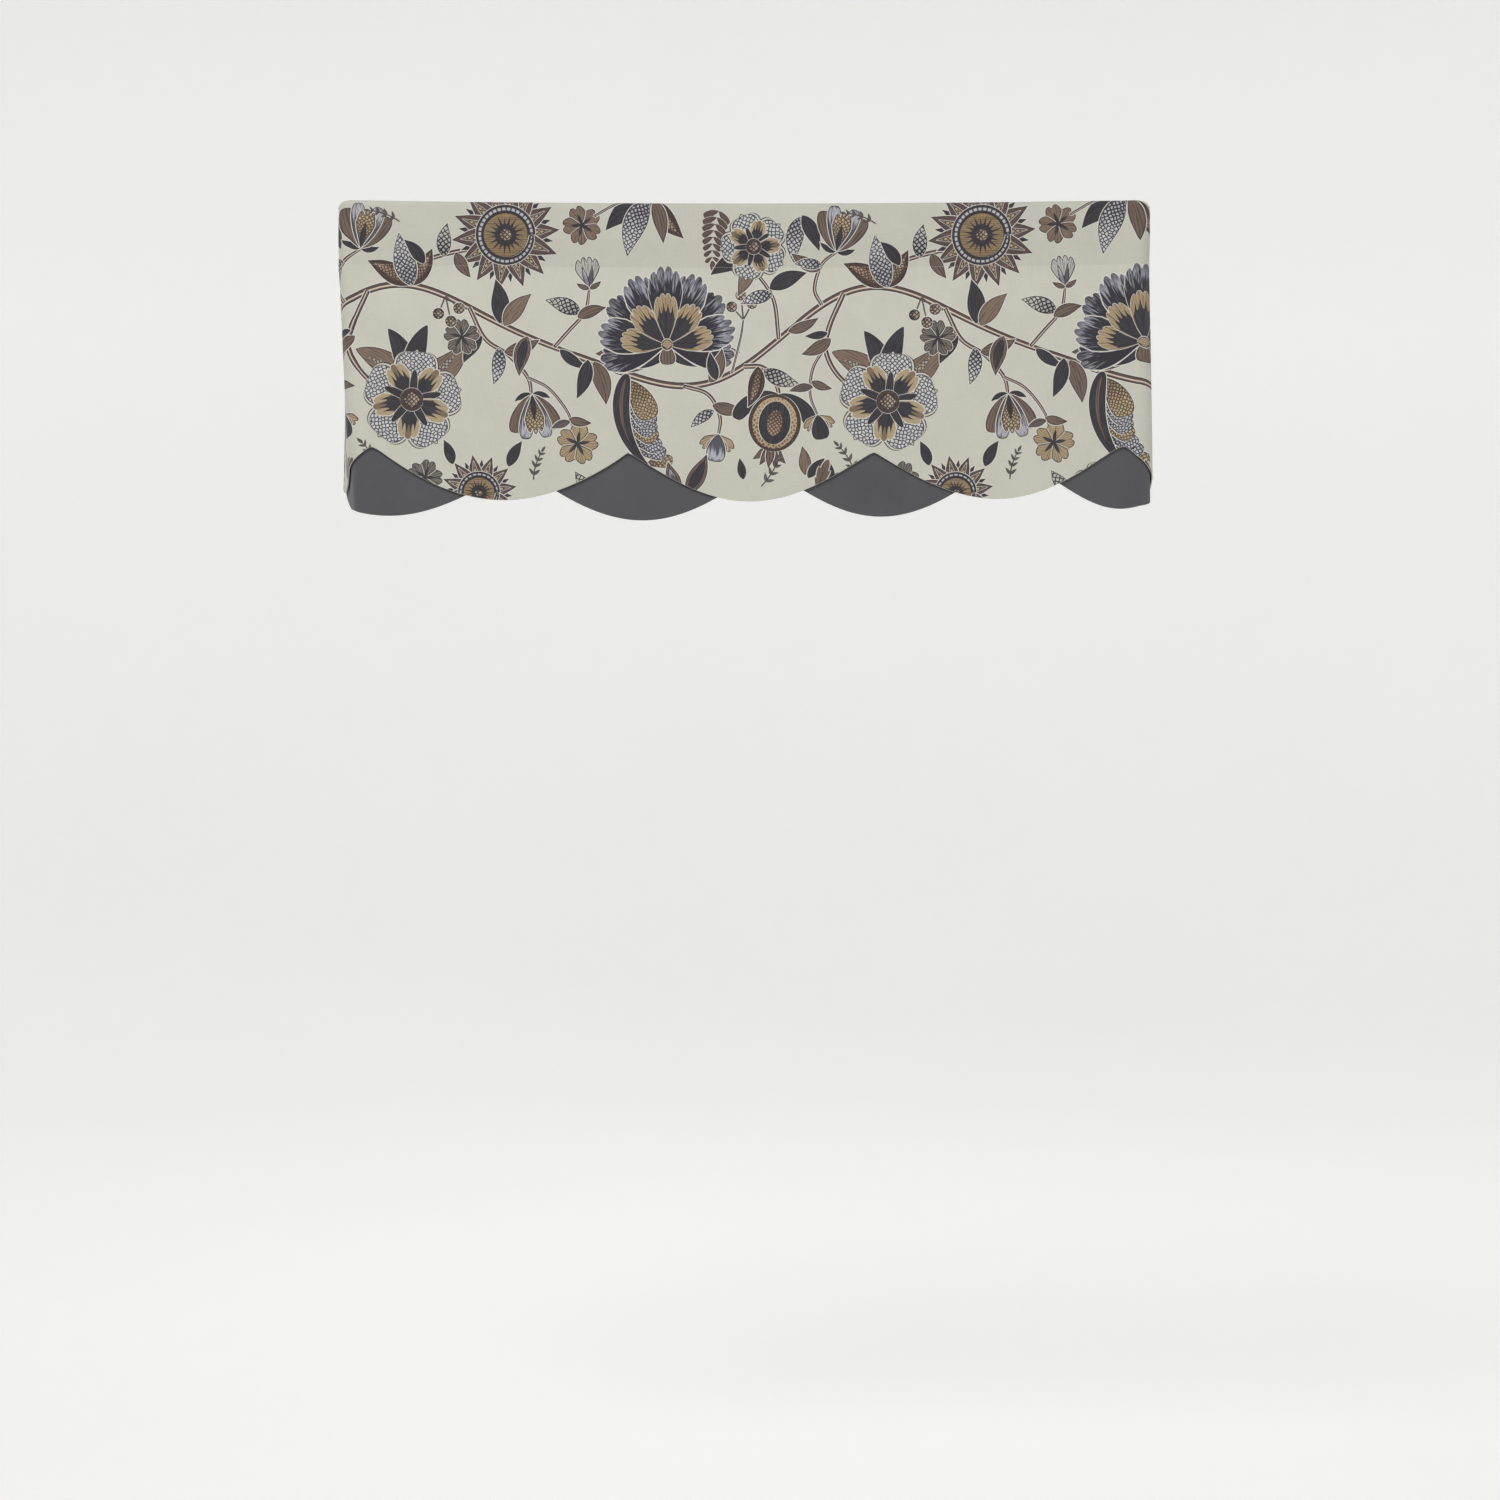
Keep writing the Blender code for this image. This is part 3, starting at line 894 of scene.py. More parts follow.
def grid_columns():
    """Places along the plan line, in mm, close together round the corners."""
    start, end = (CORNER_START - CORNER_LEAD) * MM, (CORNER_END + CORNER_TRAIL) * MM
    half = np.concatenate([between(0, start, COLUMN_STEP), between(start, end, CORNER_STEP),
                           between(end, LINE_END * MM, COLUMN_STEP)])
    return np.unique(np.concatenate([-half, half]))


def grid_rows(low, high):
    """Places down the cloth, in mm, close together over the rod and at the seam."""
    seam = SEAM_DROP * MM
    over = between(FLAP_RUN * MM, ROLL_DROP * MM, ROLL_STEP)
    straight = between(ROLL_DROP * MM, POCKET_STRAIGHT * MM, ROW_STEP)
    narrowing = between(POCKET_STRAIGHT * MM, seam - 5, NARROWING_STEP)
    groove = seam + np.array(GROOVE_ROWS)
    upper, lower = between(seam + 6, seam + 60, HANGING_STEP), between(seam + 60, high, ROW_STEP)
    rows = np.unique(np.concatenate([over, straight, narrowing, groove, upper, lower]))
    return rows[(rows >= low) & (rows <= high)]


def hem_points(peaks, step):
    """A scalloped hem in mm, from left to right."""
    columns = np.unique(np.concatenate([
        grid_columns(),
        between(-LINE_END * MM, LINE_END * MM, step),
        [peak.s * MM for peak in peaks if abs(peak.s) < LINE_END],
    ]))
    return np.stack([columns, -scalloped(columns / MM, peaks) * MM], axis=1)


def overlay_outline():
    """The flat overlay's outline in mm, hem first, counterclockwise."""
    hem = hem_points(OVERLAY_PEAKS, OVERLAY_HEM_STEP)
    top = -FLAP_RUN * MM
    flap = [(x, top) for x in hem[::2, 0]][::-1]
    rows = np.sort(-grid_rows(FLAP_RUN * MM, 1e3))
    right = [(hem[-1, 0], y) for y in rows if hem[-1, 1] + 3 < y < top - 1]
    left = [(hem[0, 0], y) for y in rows[::-1] if hem[0, 1] + 3 < y < top - 1]
    return np.vstack([hem, right, flap, left])


def inside(points, outline):
    """Which points the outline winds round."""
    start = outline
    end = np.roll(outline, -1, axis=0)
    x, y = points[:, 0][:, None], points[:, 1][:, None]
    rising = (start[:, 1] <= y) & (end[:, 1] > y)
    falling = (start[:, 1] > y) & (end[:, 1] <= y)
    turn = ((end[:, 0] - start[:, 0]) * (y - start[:, 1])
            - (x - start[:, 0]) * (end[:, 1] - start[:, 1]))
    return ((rising & (turn > 0)).sum(axis=1) - (falling & (turn < 0)).sum(axis=1)) != 0


def owners(centres, blades):
    """The number of the topmost blade over each centre, or -1."""
    owner = np.full(len(centres), -1)
    order = np.argsort(centres[:, 0])
    sorted_x = centres[order, 0]
    for number, blade in enumerate(blades):
        low, high = blade.outline.min(axis=0), blade.outline.max(axis=0)
        first, last = np.searchsorted(sorted_x, (low[0], high[0]))
        near = order[first:last]
        near = near[(centres[near, 1] >= low[1]) & (centres[near, 1] <= high[1])]
        if len(near):
            owner[near[inside(centres[near], blade.outline)]] = number
    return owner


def triangulated(points, edges):
    """Triangles through all the points and edges."""
    made, _, faces, *_ = delaunay_2d_cdt([Vector(point) for point in points], edges, [], 0, MERGE)
    return np.array([tuple(point) for point in made]), np.array(faces)


def loop_edges(first, count):
    """The edges of a closed outline whose points are numbered from first."""
    return [(first + k, first + (k + 1) % count) for k in range(count)]


def fine_at_bends(outline):
    """The outline with close points where the cloth bends over the rod and round the corners."""
    line = []
    for here, after in zip(outline, np.roll(outline, -1, axis=0)):
        over_rod = max(here[1], after[1]) > -ROLL_DROP * MM - BEND_MARGIN
        far = max(abs(here[0]), abs(after[0]))
        near = min(abs(here[0]), abs(after[0]))
        at_corner = far > CORNER_START * MM - BEND_MARGIN and near < CORNER_END * MM + BEND_MARGIN
        size = np.linalg.norm(after - here)
        count = max(math.ceil(size / BEND_STEP), 1) if over_rod or at_corner else 1
        line += [here + (after - here) * k / count for k in range(count)]
    return np.array(line)


def shown_blades():
    """The repeat's blades along the whole cloth, without those that miss it."""
    blades = []
    for number in (-1, 0, 1):
        shift = np.array([REPEAT_START + number * REPEAT, 0.0])
        for blade in repeat():
            blade.outline = fine_at_bends(blade.outline + shift)
            blade.spine = blade.spine + shift
            low, high = blade.outline.min(axis=0), blade.outline.max(axis=0)
            if high[0] > -LINE_END * MM and low[0] < LINE_END * MM and low[1] < -FLAP_RUN * MM:
                blades.append(blade)
    return blades


def printed_flat(outline, blades):
    """The flat cloth as triangles, cut along every edge of the print that shows, and their owners."""
    points = list(outline)
    edges = loop_edges(0, len(outline))
    for blade in blades:
        edges += loop_edges(len(points), len(blade.outline))
        points += list(blade.outline)
    flat, faces = triangulated(points, edges)
    owner = owners(flat[faces].mean(axis=1), blades)
    # only the edges between unlike owners, the outline and the grid go into the final triangles
    shown = shown_edges(faces, owner)
    used, compact = np.unique(shown, return_inverse=True)
    points = list(flat[used])
    edges = [tuple(edge) for edge in compact.reshape(-1, 2)]
    edges += loop_edges(len(points), len(outline))
    points += list(outline)
    edges.append((len(points), len(points) + 1))
    points += [(0.0, -FLAP_RUN * MM + 1), (0.0, -LOWEST_DROP * MM)]
    grid = [(x, -y) for x in grid_columns() for y in grid_rows(FLAP_RUN * MM, LOWEST_DROP * MM)]
    close_columns = between(-LINE_END * MM, LINE_END * MM, PUCKER_STEP)
    grid += [(x, -y) for x in close_columns for y in SEAM_DROP * MM + np.array(PUCKER_ROWS)]
    grid = np.array(grid)
    points += list(grid[inside(grid, outline)])
    flat, faces = triangulated(points, edges)
    centres = flat[faces].mean(axis=1)
    kept = inside(centres, outline)
    faces, centres = faces[kept], centres[kept]
    used, faces = np.unique(faces, return_inverse=True)
    return flat[used], faces.reshape(-1, 3), owners(centres, blades)


def sides_of(faces):
    return np.vstack([faces[:, [0, 1]], faces[:, [1, 2]], faces[:, [2, 0]]])


def shown_edges(faces, owner):
    """Edges with a different owner on each side."""
    sides = sides_of(faces)
    sides.sort(axis=1)
    whose = np.tile(owner, 3)
    order = np.lexsort((sides[:, 1], sides[:, 0]))
    sides, whose = sides[order], whose[order]
    same = (sides[1:] == sides[:-1]).all(axis=1)
    return sides[1:][same & (whose[1:] != whose[:-1])]


# ---------------------------------------------------------------- closed sheets

RIM_BULGE = 0.3  # of the thickness
RIM_SOFTNESS = 0.3  # how much of the face's own direction the rim keeps


def added(name, data):
    """A new object in the scene."""
    made = bpy.data.objects.new(name, data)
    bpy.context.scene.collection.objects.link(made)
    return made


def as_mesh(name, drawing, material):
    """A smooth mesh from a finished bmesh."""
    bmesh.ops.recalc_face_normals(drawing, faces=drawing.faces)
    data = bpy.data.meshes.new(name)
    drawing.to_mesh(data)
    drawing.free()
    data.shade_smooth()
    data.materials.append(material)
    return data


def border(faces):
    """Edges of the triangles that have one side only, each in its triangle's direction."""
    sides = sides_of(faces)
    both = {tuple(side) for side in sides}
    return np.array([side for side in sides if (side[1], side[0]) not in both])


def closed_sheet(name, surface, flat, faces, groove):
    """A sheet of real thickness: a front, the same triangles behind it, and a rounded rim."""
    front, back, facing = skins(surface, flat[:, 0] / MM, -flat[:, 1] / MM, groove)
    rim = border(faces)
    rim_points = np.unique(rim)
    outward = np.zeros((len(flat), 3))
    spans = front[rim[:, 1]] - front[rim[:, 0]]
    away = np.cross(spans, facing[rim[:, 0]])
    np.add.at(outward, rim[:, 0], away)
    np.add.at(outward, rim[:, 1], away)
    at_rim = outward[rim_points]
    at_rim /= np.linalg.norm(at_rim, axis=1)[:, None]
    outward[rim_points] = at_rim
    middle = (front[rim_points] + back[rim_points]) / 2 + at_rim * THICKNESS * RIM_BULGE
    count = len(flat)
    at_middle = np.zeros(count, dtype=int)
    at_middle[rim_points] = 2 * count + np.arange(len(rim_points))
    a, b = rim[:, 0], rim[:, 1]
    rim_faces = [np.stack(corners, axis=1) for corners in (
        (b, a, at_middle[a]), (b, at_middle[a], at_middle[b]),
        (at_middle[b], at_middle[a], a + count), (at_middle[b], a + count, b + count),
    )]
    all_faces = np.vstack([faces, faces[:, ::-1] + count] + rim_faces)
    points = np.vstack([front, back, middle])
    mesh = bpy.data.meshes.new(name)
    mesh.from_pydata(points.tolist(), [], all_faces.tolist())
    mesh.shade_smooth()
    used = all_faces.ravel()
    normals = np.vstack([facing, -facing, at_rim])[used]
    on_rim = slice(2 * faces.size, None)
    rim_ways = np.vstack([outward, outward, at_rim])[used[on_rim]]
    normals[on_rim] = normals[on_rim] * RIM_SOFTNESS + rim_ways
    normals /= np.linalg.norm(normals, axis=1)[:, None]
    mesh.normals_split_custom_set(normals.tolist())
    cloth = np.vstack([flat, flat, flat[rim_points]])
    put(mesh, "cloth", "POINT", np.column_stack([cloth, np.zeros(len(cloth))]))
    behind = np.zeros(len(all_faces))
    behind[len(faces):] = 1.0
    put(mesh, "behind", "FACE", behind)
    return added(name, mesh), len(rim)


def put(mesh, name, domain, values):
    """A named attribute on the mesh."""
    kind, field = ("FLOAT", "value") if values.ndim == 1 else ("FLOAT_VECTOR", "vector")
    attribute = mesh.attributes.new(name, kind, domain)
    attribute.data.foreach_set(field, values.astype(np.float32).ravel())


def put_print(mesh, flat, faces, owner, blades, rim_count):
    """The print's attributes, the same on the front and on the wrong side."""
    total = len(faces)
    motif = np.zeros((total, 3, 3))
    room = np.ones((total, 3, 3)) * FAR_FROM_EDGE
    paints = np.zeros((total, 3, 3))
    paints[:, 0] = linear(PAINTS["ground"].main)
    paints[:, 1] = linear(PAINTS["ground"].accent)
    order = np.argsort(owner, kind="stable")
    bounds = np.searchsorted(owner[order], np.arange(len(blades) + 1))
    for number, blade in enumerate(blades):
        mine = order[bounds[number]:bounds[number + 1]]
        if not len(mine):
            continue
        far, across, half, end, share = blade.locate(flat[faces[mine]].reshape(-1, 2))
        motif[mine] = np.stack([far, across, np.full(len(far), blade.seed)], axis=1).reshape(-1, 3, 3)
        room[mine] = np.stack([half, end, share], axis=1).reshape(-1, 3, 3)
        paint = PAINTS[blade.paint]
        paints[mine, 0] = linear(paint.main)
        paints[mine, 1] = linear(paint.accent)
        paints[mine, 2] = (paint.style, paint.amount, paint.inked)

    def both_sides(corners):
        rim_part = np.zeros((4 * rim_count,) + corners.shape[1:])
        return np.concatenate([corners, corners[:, ::-1] if corners.ndim == 3 else corners, rim_part])

    put(mesh, "motif", "CORNER", both_sides(motif).reshape(-1, 3))
    put(mesh, "room", "CORNER", both_sides(room).reshape(-1, 3))
    for name, column in (("main", 0), ("accent", 1), ("style", 2)):
        values = both_sides(paints[:, column])
        if name != "style":
            values[2 * total:] = linear(PAINTS["ground"].main)
        put(mesh, name, "FACE", values)


# ---------------------------------------------------------------- shader building

GLOSS = 0.22
SHEEN = 0.12
SHEEN_ROUGHNESS = 0.55


class Wire:
    """A value in a shader tree. Arithmetic on it makes Math nodes."""

    def __init__(self, tree, socket):
        self.tree, self.socket = tree, socket

    def math(self, operation, *others):
        node = self.tree.nodes.new("ShaderNodeMath")
        node.operation = operation
        return fed(self.tree, node, self, *others)

    def __add__(self, other):
        return self.math("ADD", other)

    def __sub__(self, other):
        return self.math("SUBTRACT", other)

    def __mul__(self, other):
        return self.math("MULTIPLY", other)

    def __truediv__(self, other):
        return self.math("DIVIDE", other)

    __radd__ = __add__
    __rmul__ = __mul__

    def __rsub__(self, other):
        return (self * -1.0).math("ADD", other)

    def __rtruediv__(self, other):
        return self.math("POWER", -1.0) * other

    def cos(self):
        return self.math("COSINE")

    def abs(self):
        return self.math("ABSOLUTE")

    def at_least(self, other):
        return self.math("MAXIMUM", other)

    def at_most(self, other):
        return self.math("MINIMUM", other)

    def step(self, low, high):
        """0 below low, 1 above high, and smooth between."""
        node = self.tree.nodes.new("ShaderNodeMapRange")
        node.interpolation_type = "SMOOTHSTEP"
        return fed(self.tree, node, self, low, high)

    def is_number(self, number):
        return self.math("COMPARE", float(number), 0.5)


def join(tree, value, socket):
    """Links a wire to the socket, or sets a constant on it."""
    if isinstance(value, Wire):
        tree.links.new(value.socket, socket)
    else:
        socket.default_value = value


def fed(tree, node, *values):
    """The node's result, with the values at its first inputs."""
    for place, value in enumerate(values):
        join(tree, value, node.inputs[place])
    return Wire(tree, node.outputs[0])


class Material:
    """A Principled material and the nodes that feed it."""

    def __init__(self, name, roughness):
        self.data = bpy.data.materials.new(name)
        self.data.use_nodes = True
        self.tree = self.data.node_tree
        self.shader = self.tree.nodes["Principled BSDF"]
        self.shader.inputs["Roughness"].default_value = roughness
        self.shader.inputs["Specular IOR Level"].default_value = GLOSS
        self.shader.inputs["Sheen Weight"].default_value = SHEEN
        self.shader.inputs["Sheen Roughness"].default_value = SHEEN_ROUGHNESS

    def attribute(self, name, output="Vector"):
        node = self.tree.nodes.new("ShaderNodeAttribute")
        node.attribute_name = name
        return Wire(self.tree, node.outputs[output])

    def parts(self, vector):
        """The three numbers of a vector."""
        node = self.tree.nodes.new("ShaderNodeSeparateXYZ")
        self.tree.links.new(vector.socket, node.inputs[0])
        return [Wire(self.tree, output) for output in node.outputs]

    def in_space(self):
        """The place in the object's own coordinates."""
        node = self.tree.nodes.new("ShaderNodeTexCoord")
        return Wire(self.tree, node.outputs["Object"])

    def vector(self, x, y, z=0.0):
        return fed(self.tree, self.tree.nodes.new("ShaderNodeCombineXYZ"), x, y, z)

    def noise(self, vector, scale, detail=2.0):
        node = self.tree.nodes.new("ShaderNodeTexNoise")
        self.tree.links.new(vector.socket, node.inputs["Vector"])
        node.inputs["Scale"].default_value = scale
        node.inputs["Detail"].default_value = detail
        return Wire(self.tree, node.outputs["Fac"])

    def cells(self, vector, randomness):
        """How far a place is from the nearest line between cells about 1 apart."""
        node = self.tree.nodes.new("ShaderNodeTexVoronoi")
        node.feature = "DISTANCE_TO_EDGE"
        node.voronoi_dimensions = "2D"
        self.tree.links.new(vector.socket, node.inputs["Vector"])
        node.inputs["Scale"].default_value = 1.0
        node.inputs["Randomness"].default_value = randomness
        return Wire(self.tree, node.outputs["Distance"])

    def mix(self, share, first, second, kind="MIX"):
        node = self.tree.nodes.new("ShaderNodeMix")
        node.data_type = "RGBA"
        node.blend_type = kind
        colours = [socket for socket in node.inputs if socket.type == "RGBA"]
        factor = next(socket for socket in node.inputs if socket.type == "VALUE")
        for value, socket in zip((share, first, second), (factor, *colours)):
            join(self.tree, value, socket)
        return Wire(self.tree, next(output for output in node.outputs if output.type == "RGBA"))

    def bump(self, height, distance, strength=1.0, under=None):
        node = self.tree.nodes.new("ShaderNodeBump")
        node.inputs["Distance"].default_value = distance
        node.inputs["Strength"].default_value = strength
        self.tree.links.new(height.socket, node.inputs["Height"])
        if under:
            self.tree.links.new(under.socket, node.inputs["Normal"])
        return Wire(self.tree, node.outputs[0])

    def finish(self, colour, normal):
        self.tree.links.new(colour.socket, self.shader.inputs["Base Color"])
        self.tree.links.new(normal.socket, self.shader.inputs["Normal"])
        return self.data


YARN = 0.62  # mm from one yarn to the next
YARN_RELIEF = 0.00009
CREASE_RELIEF = 0.0006
SLUB_WIDE, SLUB_LONG = 1.6, 0.05  # how often slubs come across a yarn, and along it, in each mm


def opaque(colour):
    return (*linear(colour), 1.0)


def woven(material, colour):
    """Plain weave over a colour: yarns, thick and thin places, a soft mottling, and painted shade where the
    yarns dip.
    """
    x, y, _ = material.parts(material.attribute("cloth"))
    place = material.vector(x, y)
    warp = material.noise(material.vector(x * SLUB_WIDE, y * SLUB_LONG), 1.0)
    weft = material.noise(material.vector(x * SLUB_LONG, y * SLUB_WIDE, 7.0), 1.0)
    slub = warp + weft
    cross = (x * (math.pi / YARN)).cos() * (y * (math.pi / YARN)).cos()
    height = cross * 0.5 + slub * 0.9
    soft = material.noise(place, 0.02, 3.0)
    # painted shade: darker where the weave dips between yarns (cross); the slubs and the soft mottling vary
    # the tone
    tone_and_weave_shade = slub * 0.16 + soft * 0.10 + cross * 0.05 + 0.79
    tinted = material.mix(1.0, colour, material.vector(tone_and_weave_shade, tone_and_weave_shade, tone_and_weave_shade), "MULTIPLY")
    crease = material.noise(place, 0.045, 4.0)
    under = material.bump(crease, CREASE_RELIEF, 0.5)
    return tinted, material.bump(height, YARN_RELIEF, 0.7, under)


POCKET_PAINTED_SHADE = 0.065  # painted shade: the pocket, where the cloth is double, is coloured darker than the cloth below the seam
WRONG_SIDE_FADE = 0.72
CELL_RANDOMNESS = 0.55
GREYS = (78, 77, 82), (90, 89, 92)
THREADS = (168, 166, 154), (214, 212, 200)
FIBRES = 2600.0  # in each metre of thread
FIBRE_RELIEF = 0.0001


def printed_cotton():
    """The overlay's cloth: each motif has a main and an accent colour, and a style that mixes them."""
    m = Material("printed_cotton", 0.86)
    far, across, seed = m.parts(m.attribute("motif"))
    half, end, share = m.parts(m.attribute("room"))
    style, amount, inked = m.parts(m.attribute("style"))
    x, y, _ = m.parts(m.attribute("cloth"))
    ragged = m.noise(m.vector(across * 0.72 + seed, far * 0.045, seed), 1.0, 3.0)
    warp = m.noise(m.vector(x, y), 0.22, 2.0) * 3.0
    pitch = amount.at_least(0.1)
    turn = (2 * math.pi) / pitch
    slope = math.sqrt(0.5)
    sloped = m.vector((far + across) * slope / pitch, (far - across) * slope / pitch, seed)
    from_line = m.cells(sloped, CELL_RANDOMNESS) * pitch
    patchy = m.noise(m.vector(x + seed, y), 0.10, 2.0)
    low_down = 1.0 - share.step(0.10, 0.80)
    dark_end = 1.0 - (share + ragged * 0.5 - 0.25).step(0.88, 1.0) * 0.75
    stippled = (from_line - low_down * 0.45).step(0.28, 1.10)
    veins = (across / half.at_least(0.05) * (math.pi * amount)).cos().step(0.20, 0.95)
    masks = {
        PLAIN: m.noise(m.vector(x, y), 0.3, 3.0).step(0.35, 0.75),
        SCALES: stippled * (0.60 + patchy * 0.5 - low_down * 0.25).at_most(1.0),
        TIPS: (share + ragged * 1.3 - 0.65).step(amount, amount + 0.30) * dark_end,
        FANNED: veins * share.step(0.15, 0.45),
        RIBS: ((far + warp * 0.2) * turn).cos().step(-0.85, -0.20),
        LINED: 1.0 - (across / half.at_least(0.05) + 0.12).abs().step(amount * 0.6, amount * 1.8),
        LINES: ((across * turn).cos() * 0.12 + ragged).step(0.40, 0.72) * 0.85,
    }
    chosen = (style.is_number(number) * value for number, value in masks.items())
    mask = sum(chosen, start=seed * 0.0)
    colour = m.mix(mask, m.attribute("main"), m.attribute("accent"))
    edge = (half - across.abs()).at_most(end + 0.2)
    ink = (1.0 - edge.step(0.55, 1.60)) * inked
    colour = m.mix(ink, colour, opaque(INK))
    # painted shade: the colour above the pocket seam is darkened
    pocket = y.step(-SEAM_DROP * MM - 1.0, -SEAM_DROP * MM + 1.0)
    lit = 1.0 - pocket * POCKET_PAINTED_SHADE
    colour = m.mix(1.0, colour, m.vector(lit, lit, lit), "MULTIPLY")
    behind = m.attribute("behind", "Fac")
    colour = m.mix(behind * WRONG_SIDE_FADE, colour, opaque(GROUND))
    return m.finish(*woven(m, colour))


def grey_cotton():
    """The petticoat's plain dyed cloth."""
    m = Material("grey_cotton", 0.84)
    x, y, _ = m.parts(m.attribute("cloth"))
    worn = m.noise(m.vector(x, y), 0.012, 3.0)
    colour = m.mix(worn, *map(opaque, GREYS))
    return m.finish(*woven(m, colour))


def thread_material():
    """Sewing thread with its twist."""
    m = Material("thread", 0.6)
    fibre = m.noise(m.in_space(), FIBRES, 2.0)
    colour = m.mix(fibre, *map(opaque, THREADS))
    return m.finish(colour, m.bump(fibre, FIBRE_RELIEF, 0.6))


# ---------------------------------------------------------------- pieces

BAKE_SIDE = 930.0  # mm of cloth across the flat map
BAKE_GAP = 6.0
WRONG_SIDE_SCALE = 0.55
RIM_PATCH = ((0.985, 0.985), (0.99, 0.985), (0.985, 0.99))  # a plain corner of the map


def bake_map(mesh, flat, faces, rim):
    """A flat map of the cloth: the front in two strips, and the wrong side, smaller, beside them."""
    gap = BAKE_GAP
    low = LOWEST_DROP * MM
    height = low - FLAP_RUN * MM
    layer = mesh.uv_layers.new(name="OFBake")
    corners = flat[faces]
    left = corners[:, :, 0].mean(axis=1) < 0
    u = corners[:, :, 0] + np.where(left, LINE_END * MM, 0.0)[:, None] + gap
    v = corners[:, :, 1] + low + gap + np.where(left, height + gap, 0.0)[:, None]
    front = np.stack([u, v], axis=2) / BAKE_SIDE
    turned = np.stack([
        LINE_END * MM + 4 * gap + (corners[:, :, 1] + low) * WRONG_SIDE_SCALE,
        gap + (corners[:, :, 0] + LINE_END * MM) * WRONG_SIDE_SCALE,
    ], axis=2) / BAKE_SIDE
    strip = np.tile(RIM_PATCH, (4 * rim, 1, 1))
    places = np.concatenate([front, turned[:, ::-1], strip])
    layer.uv.foreach_set("vector", places.astype(np.float32).ravel())


def enclosed(outline):
    """The flat area inside an outline in mm, in square metres."""
    return abs(twice_area(outline)) / 2 / MM**2


def flat_size(outline):
    """The width and length of an outline in mm, in metres."""
    return tuple(float(size) / MM for size in outline.max(axis=0) - outline.min(axis=0))


def overlay():
    """The printed sheet, and its flat outline."""
    outline = overlay_outline()
    blades = shown_blades()
    flat, faces, owner = printed_flat(outline, blades)
    piece, rim = closed_sheet("valance_overlay", overlay_at, flat, faces, GROOVE_DEPTH)
    put_print(piece.data, flat, faces, owner, blades, rim)
    bake_map(piece.data, flat, faces, rim)
    piece.data.materials.append(printed_cotton())
    print("overlay:", len(blades), "blades,", len(piece.data.polygons), "triangles")
    return piece, outline


PETTICOAT_ROWS = np.array([1.0, 2.0, 3.4, 6.0, 10.0, 16.0])  # below the seam
PETTICOAT_SHARES = between(0.06, 1.0, 0.035)  # and from the last of them to the hem


def petticoat():
    """The plain sheet, and its flat outline."""
    hem = hem_points(PETTICOAT_PEAKS, PETTICOAT_HEM_STEP)
    seam = SEAM_DROP * MM
    upper = grid_rows(PETTICOAT_TOP * MM, seam)
    upper = np.unique(np.concatenate([[PETTICOAT_TOP * MM], upper]))
    points, faces = [], []
    last = seam + PETTICOAT_ROWS[-1]
    for x, y in hem:
        rest = (-y - seam - PETTICOAT_ROWS[-1]) * PETTICOAT_SHARES
        rows = np.concatenate([upper, seam + PETTICOAT_ROWS, last + rest])
        points += [(x, -row) for row in rows]
    count = len(rows)
    for column in range(len(hem) - 1):
        for row in range(count - 1):
            a = column * count + row
            faces += [(a, a + 1, a + count + 1), (a, a + count + 1, a + count)]
    flat, faces = np.array(points), np.array(faces)
    piece, _ = closed_sheet("valance_petticoat", petticoat_at, flat, faces, 0.0)
    piece.data.materials.append(grey_cotton())
    top = -PETTICOAT_TOP * MM
    return piece, np.vstack([hem, [(hem[-1, 0], top), (hem[0, 0], top)]])


STITCH_LENGTH = 0.0024
STITCH_GAP = 0.0009
STITCH_SHARES = (0.14, 0.86)  # the part of each step that the stitch takes
THREAD = 0.00042
THREAD_SIDES = 5
STITCH_RINGS = ((0.0, 0.35), (0.18, 0.85), (0.5, 1.0), (0.82, 0.85), (1.0, 0.35))
SEAM_MARGIN = 0.001
CORNER_MARKS, CORNER_MARGIN = 9, 0.01


def stitched(mesh, surface, start, end, front, depth=0.0):
    """A row of stitches on a sheet's face, from one place on the cloth to another."""
    start, end = np.array(start), np.array(end)
    length = np.linalg.norm(end - start)
    count = int(length / (STITCH_LENGTH + STITCH_GAP))
    for k in range(count):
        ends = [start + (end - start) * (k + part) / count for part in STITCH_SHARES]
        s, run = (np.array([point[axis] for point in ends]) for axis in (0, 1))
        outer, inner, facing = skins(surface, s, run)
        face = outer - facing * depth if front else inner
        up = facing if front else -facing
        add_stitch(mesh, Vector(face[0]), Vector(face[1]), Vector(up[0]))


def add_stitch(mesh, start, end, up):
    """One stitch: a rounded bar that dips into the cloth at both ends."""
    run = end - start
    side = run.cross(up).normalized()
    rings = []
    for share, size in STITCH_RINGS:
        lift = THREAD * (0.55 * math.sin(math.pi * (0.12 + 0.76 * share)) - 0.1)
        centre = start + run * share + up * lift
        radius = THREAD / 2 * size
        rings.append([
            mesh.verts.new(centre + (side * math.cos(turn) + up * math.sin(turn)) * radius)
            for turn in (math.pi * 2 * k / THREAD_SIDES for k in range(THREAD_SIDES))
        ])
    for here, after in zip(rings, rings[1:]):
        for k in range(THREAD_SIDES):
            beside_it = (k + 1) % THREAD_SIDES
            mesh.faces.new((here[k], here[beside_it], after[beside_it], after[k]))
    mesh.faces.new(rings[0][::-1])
    mesh.faces.new(rings[-1])


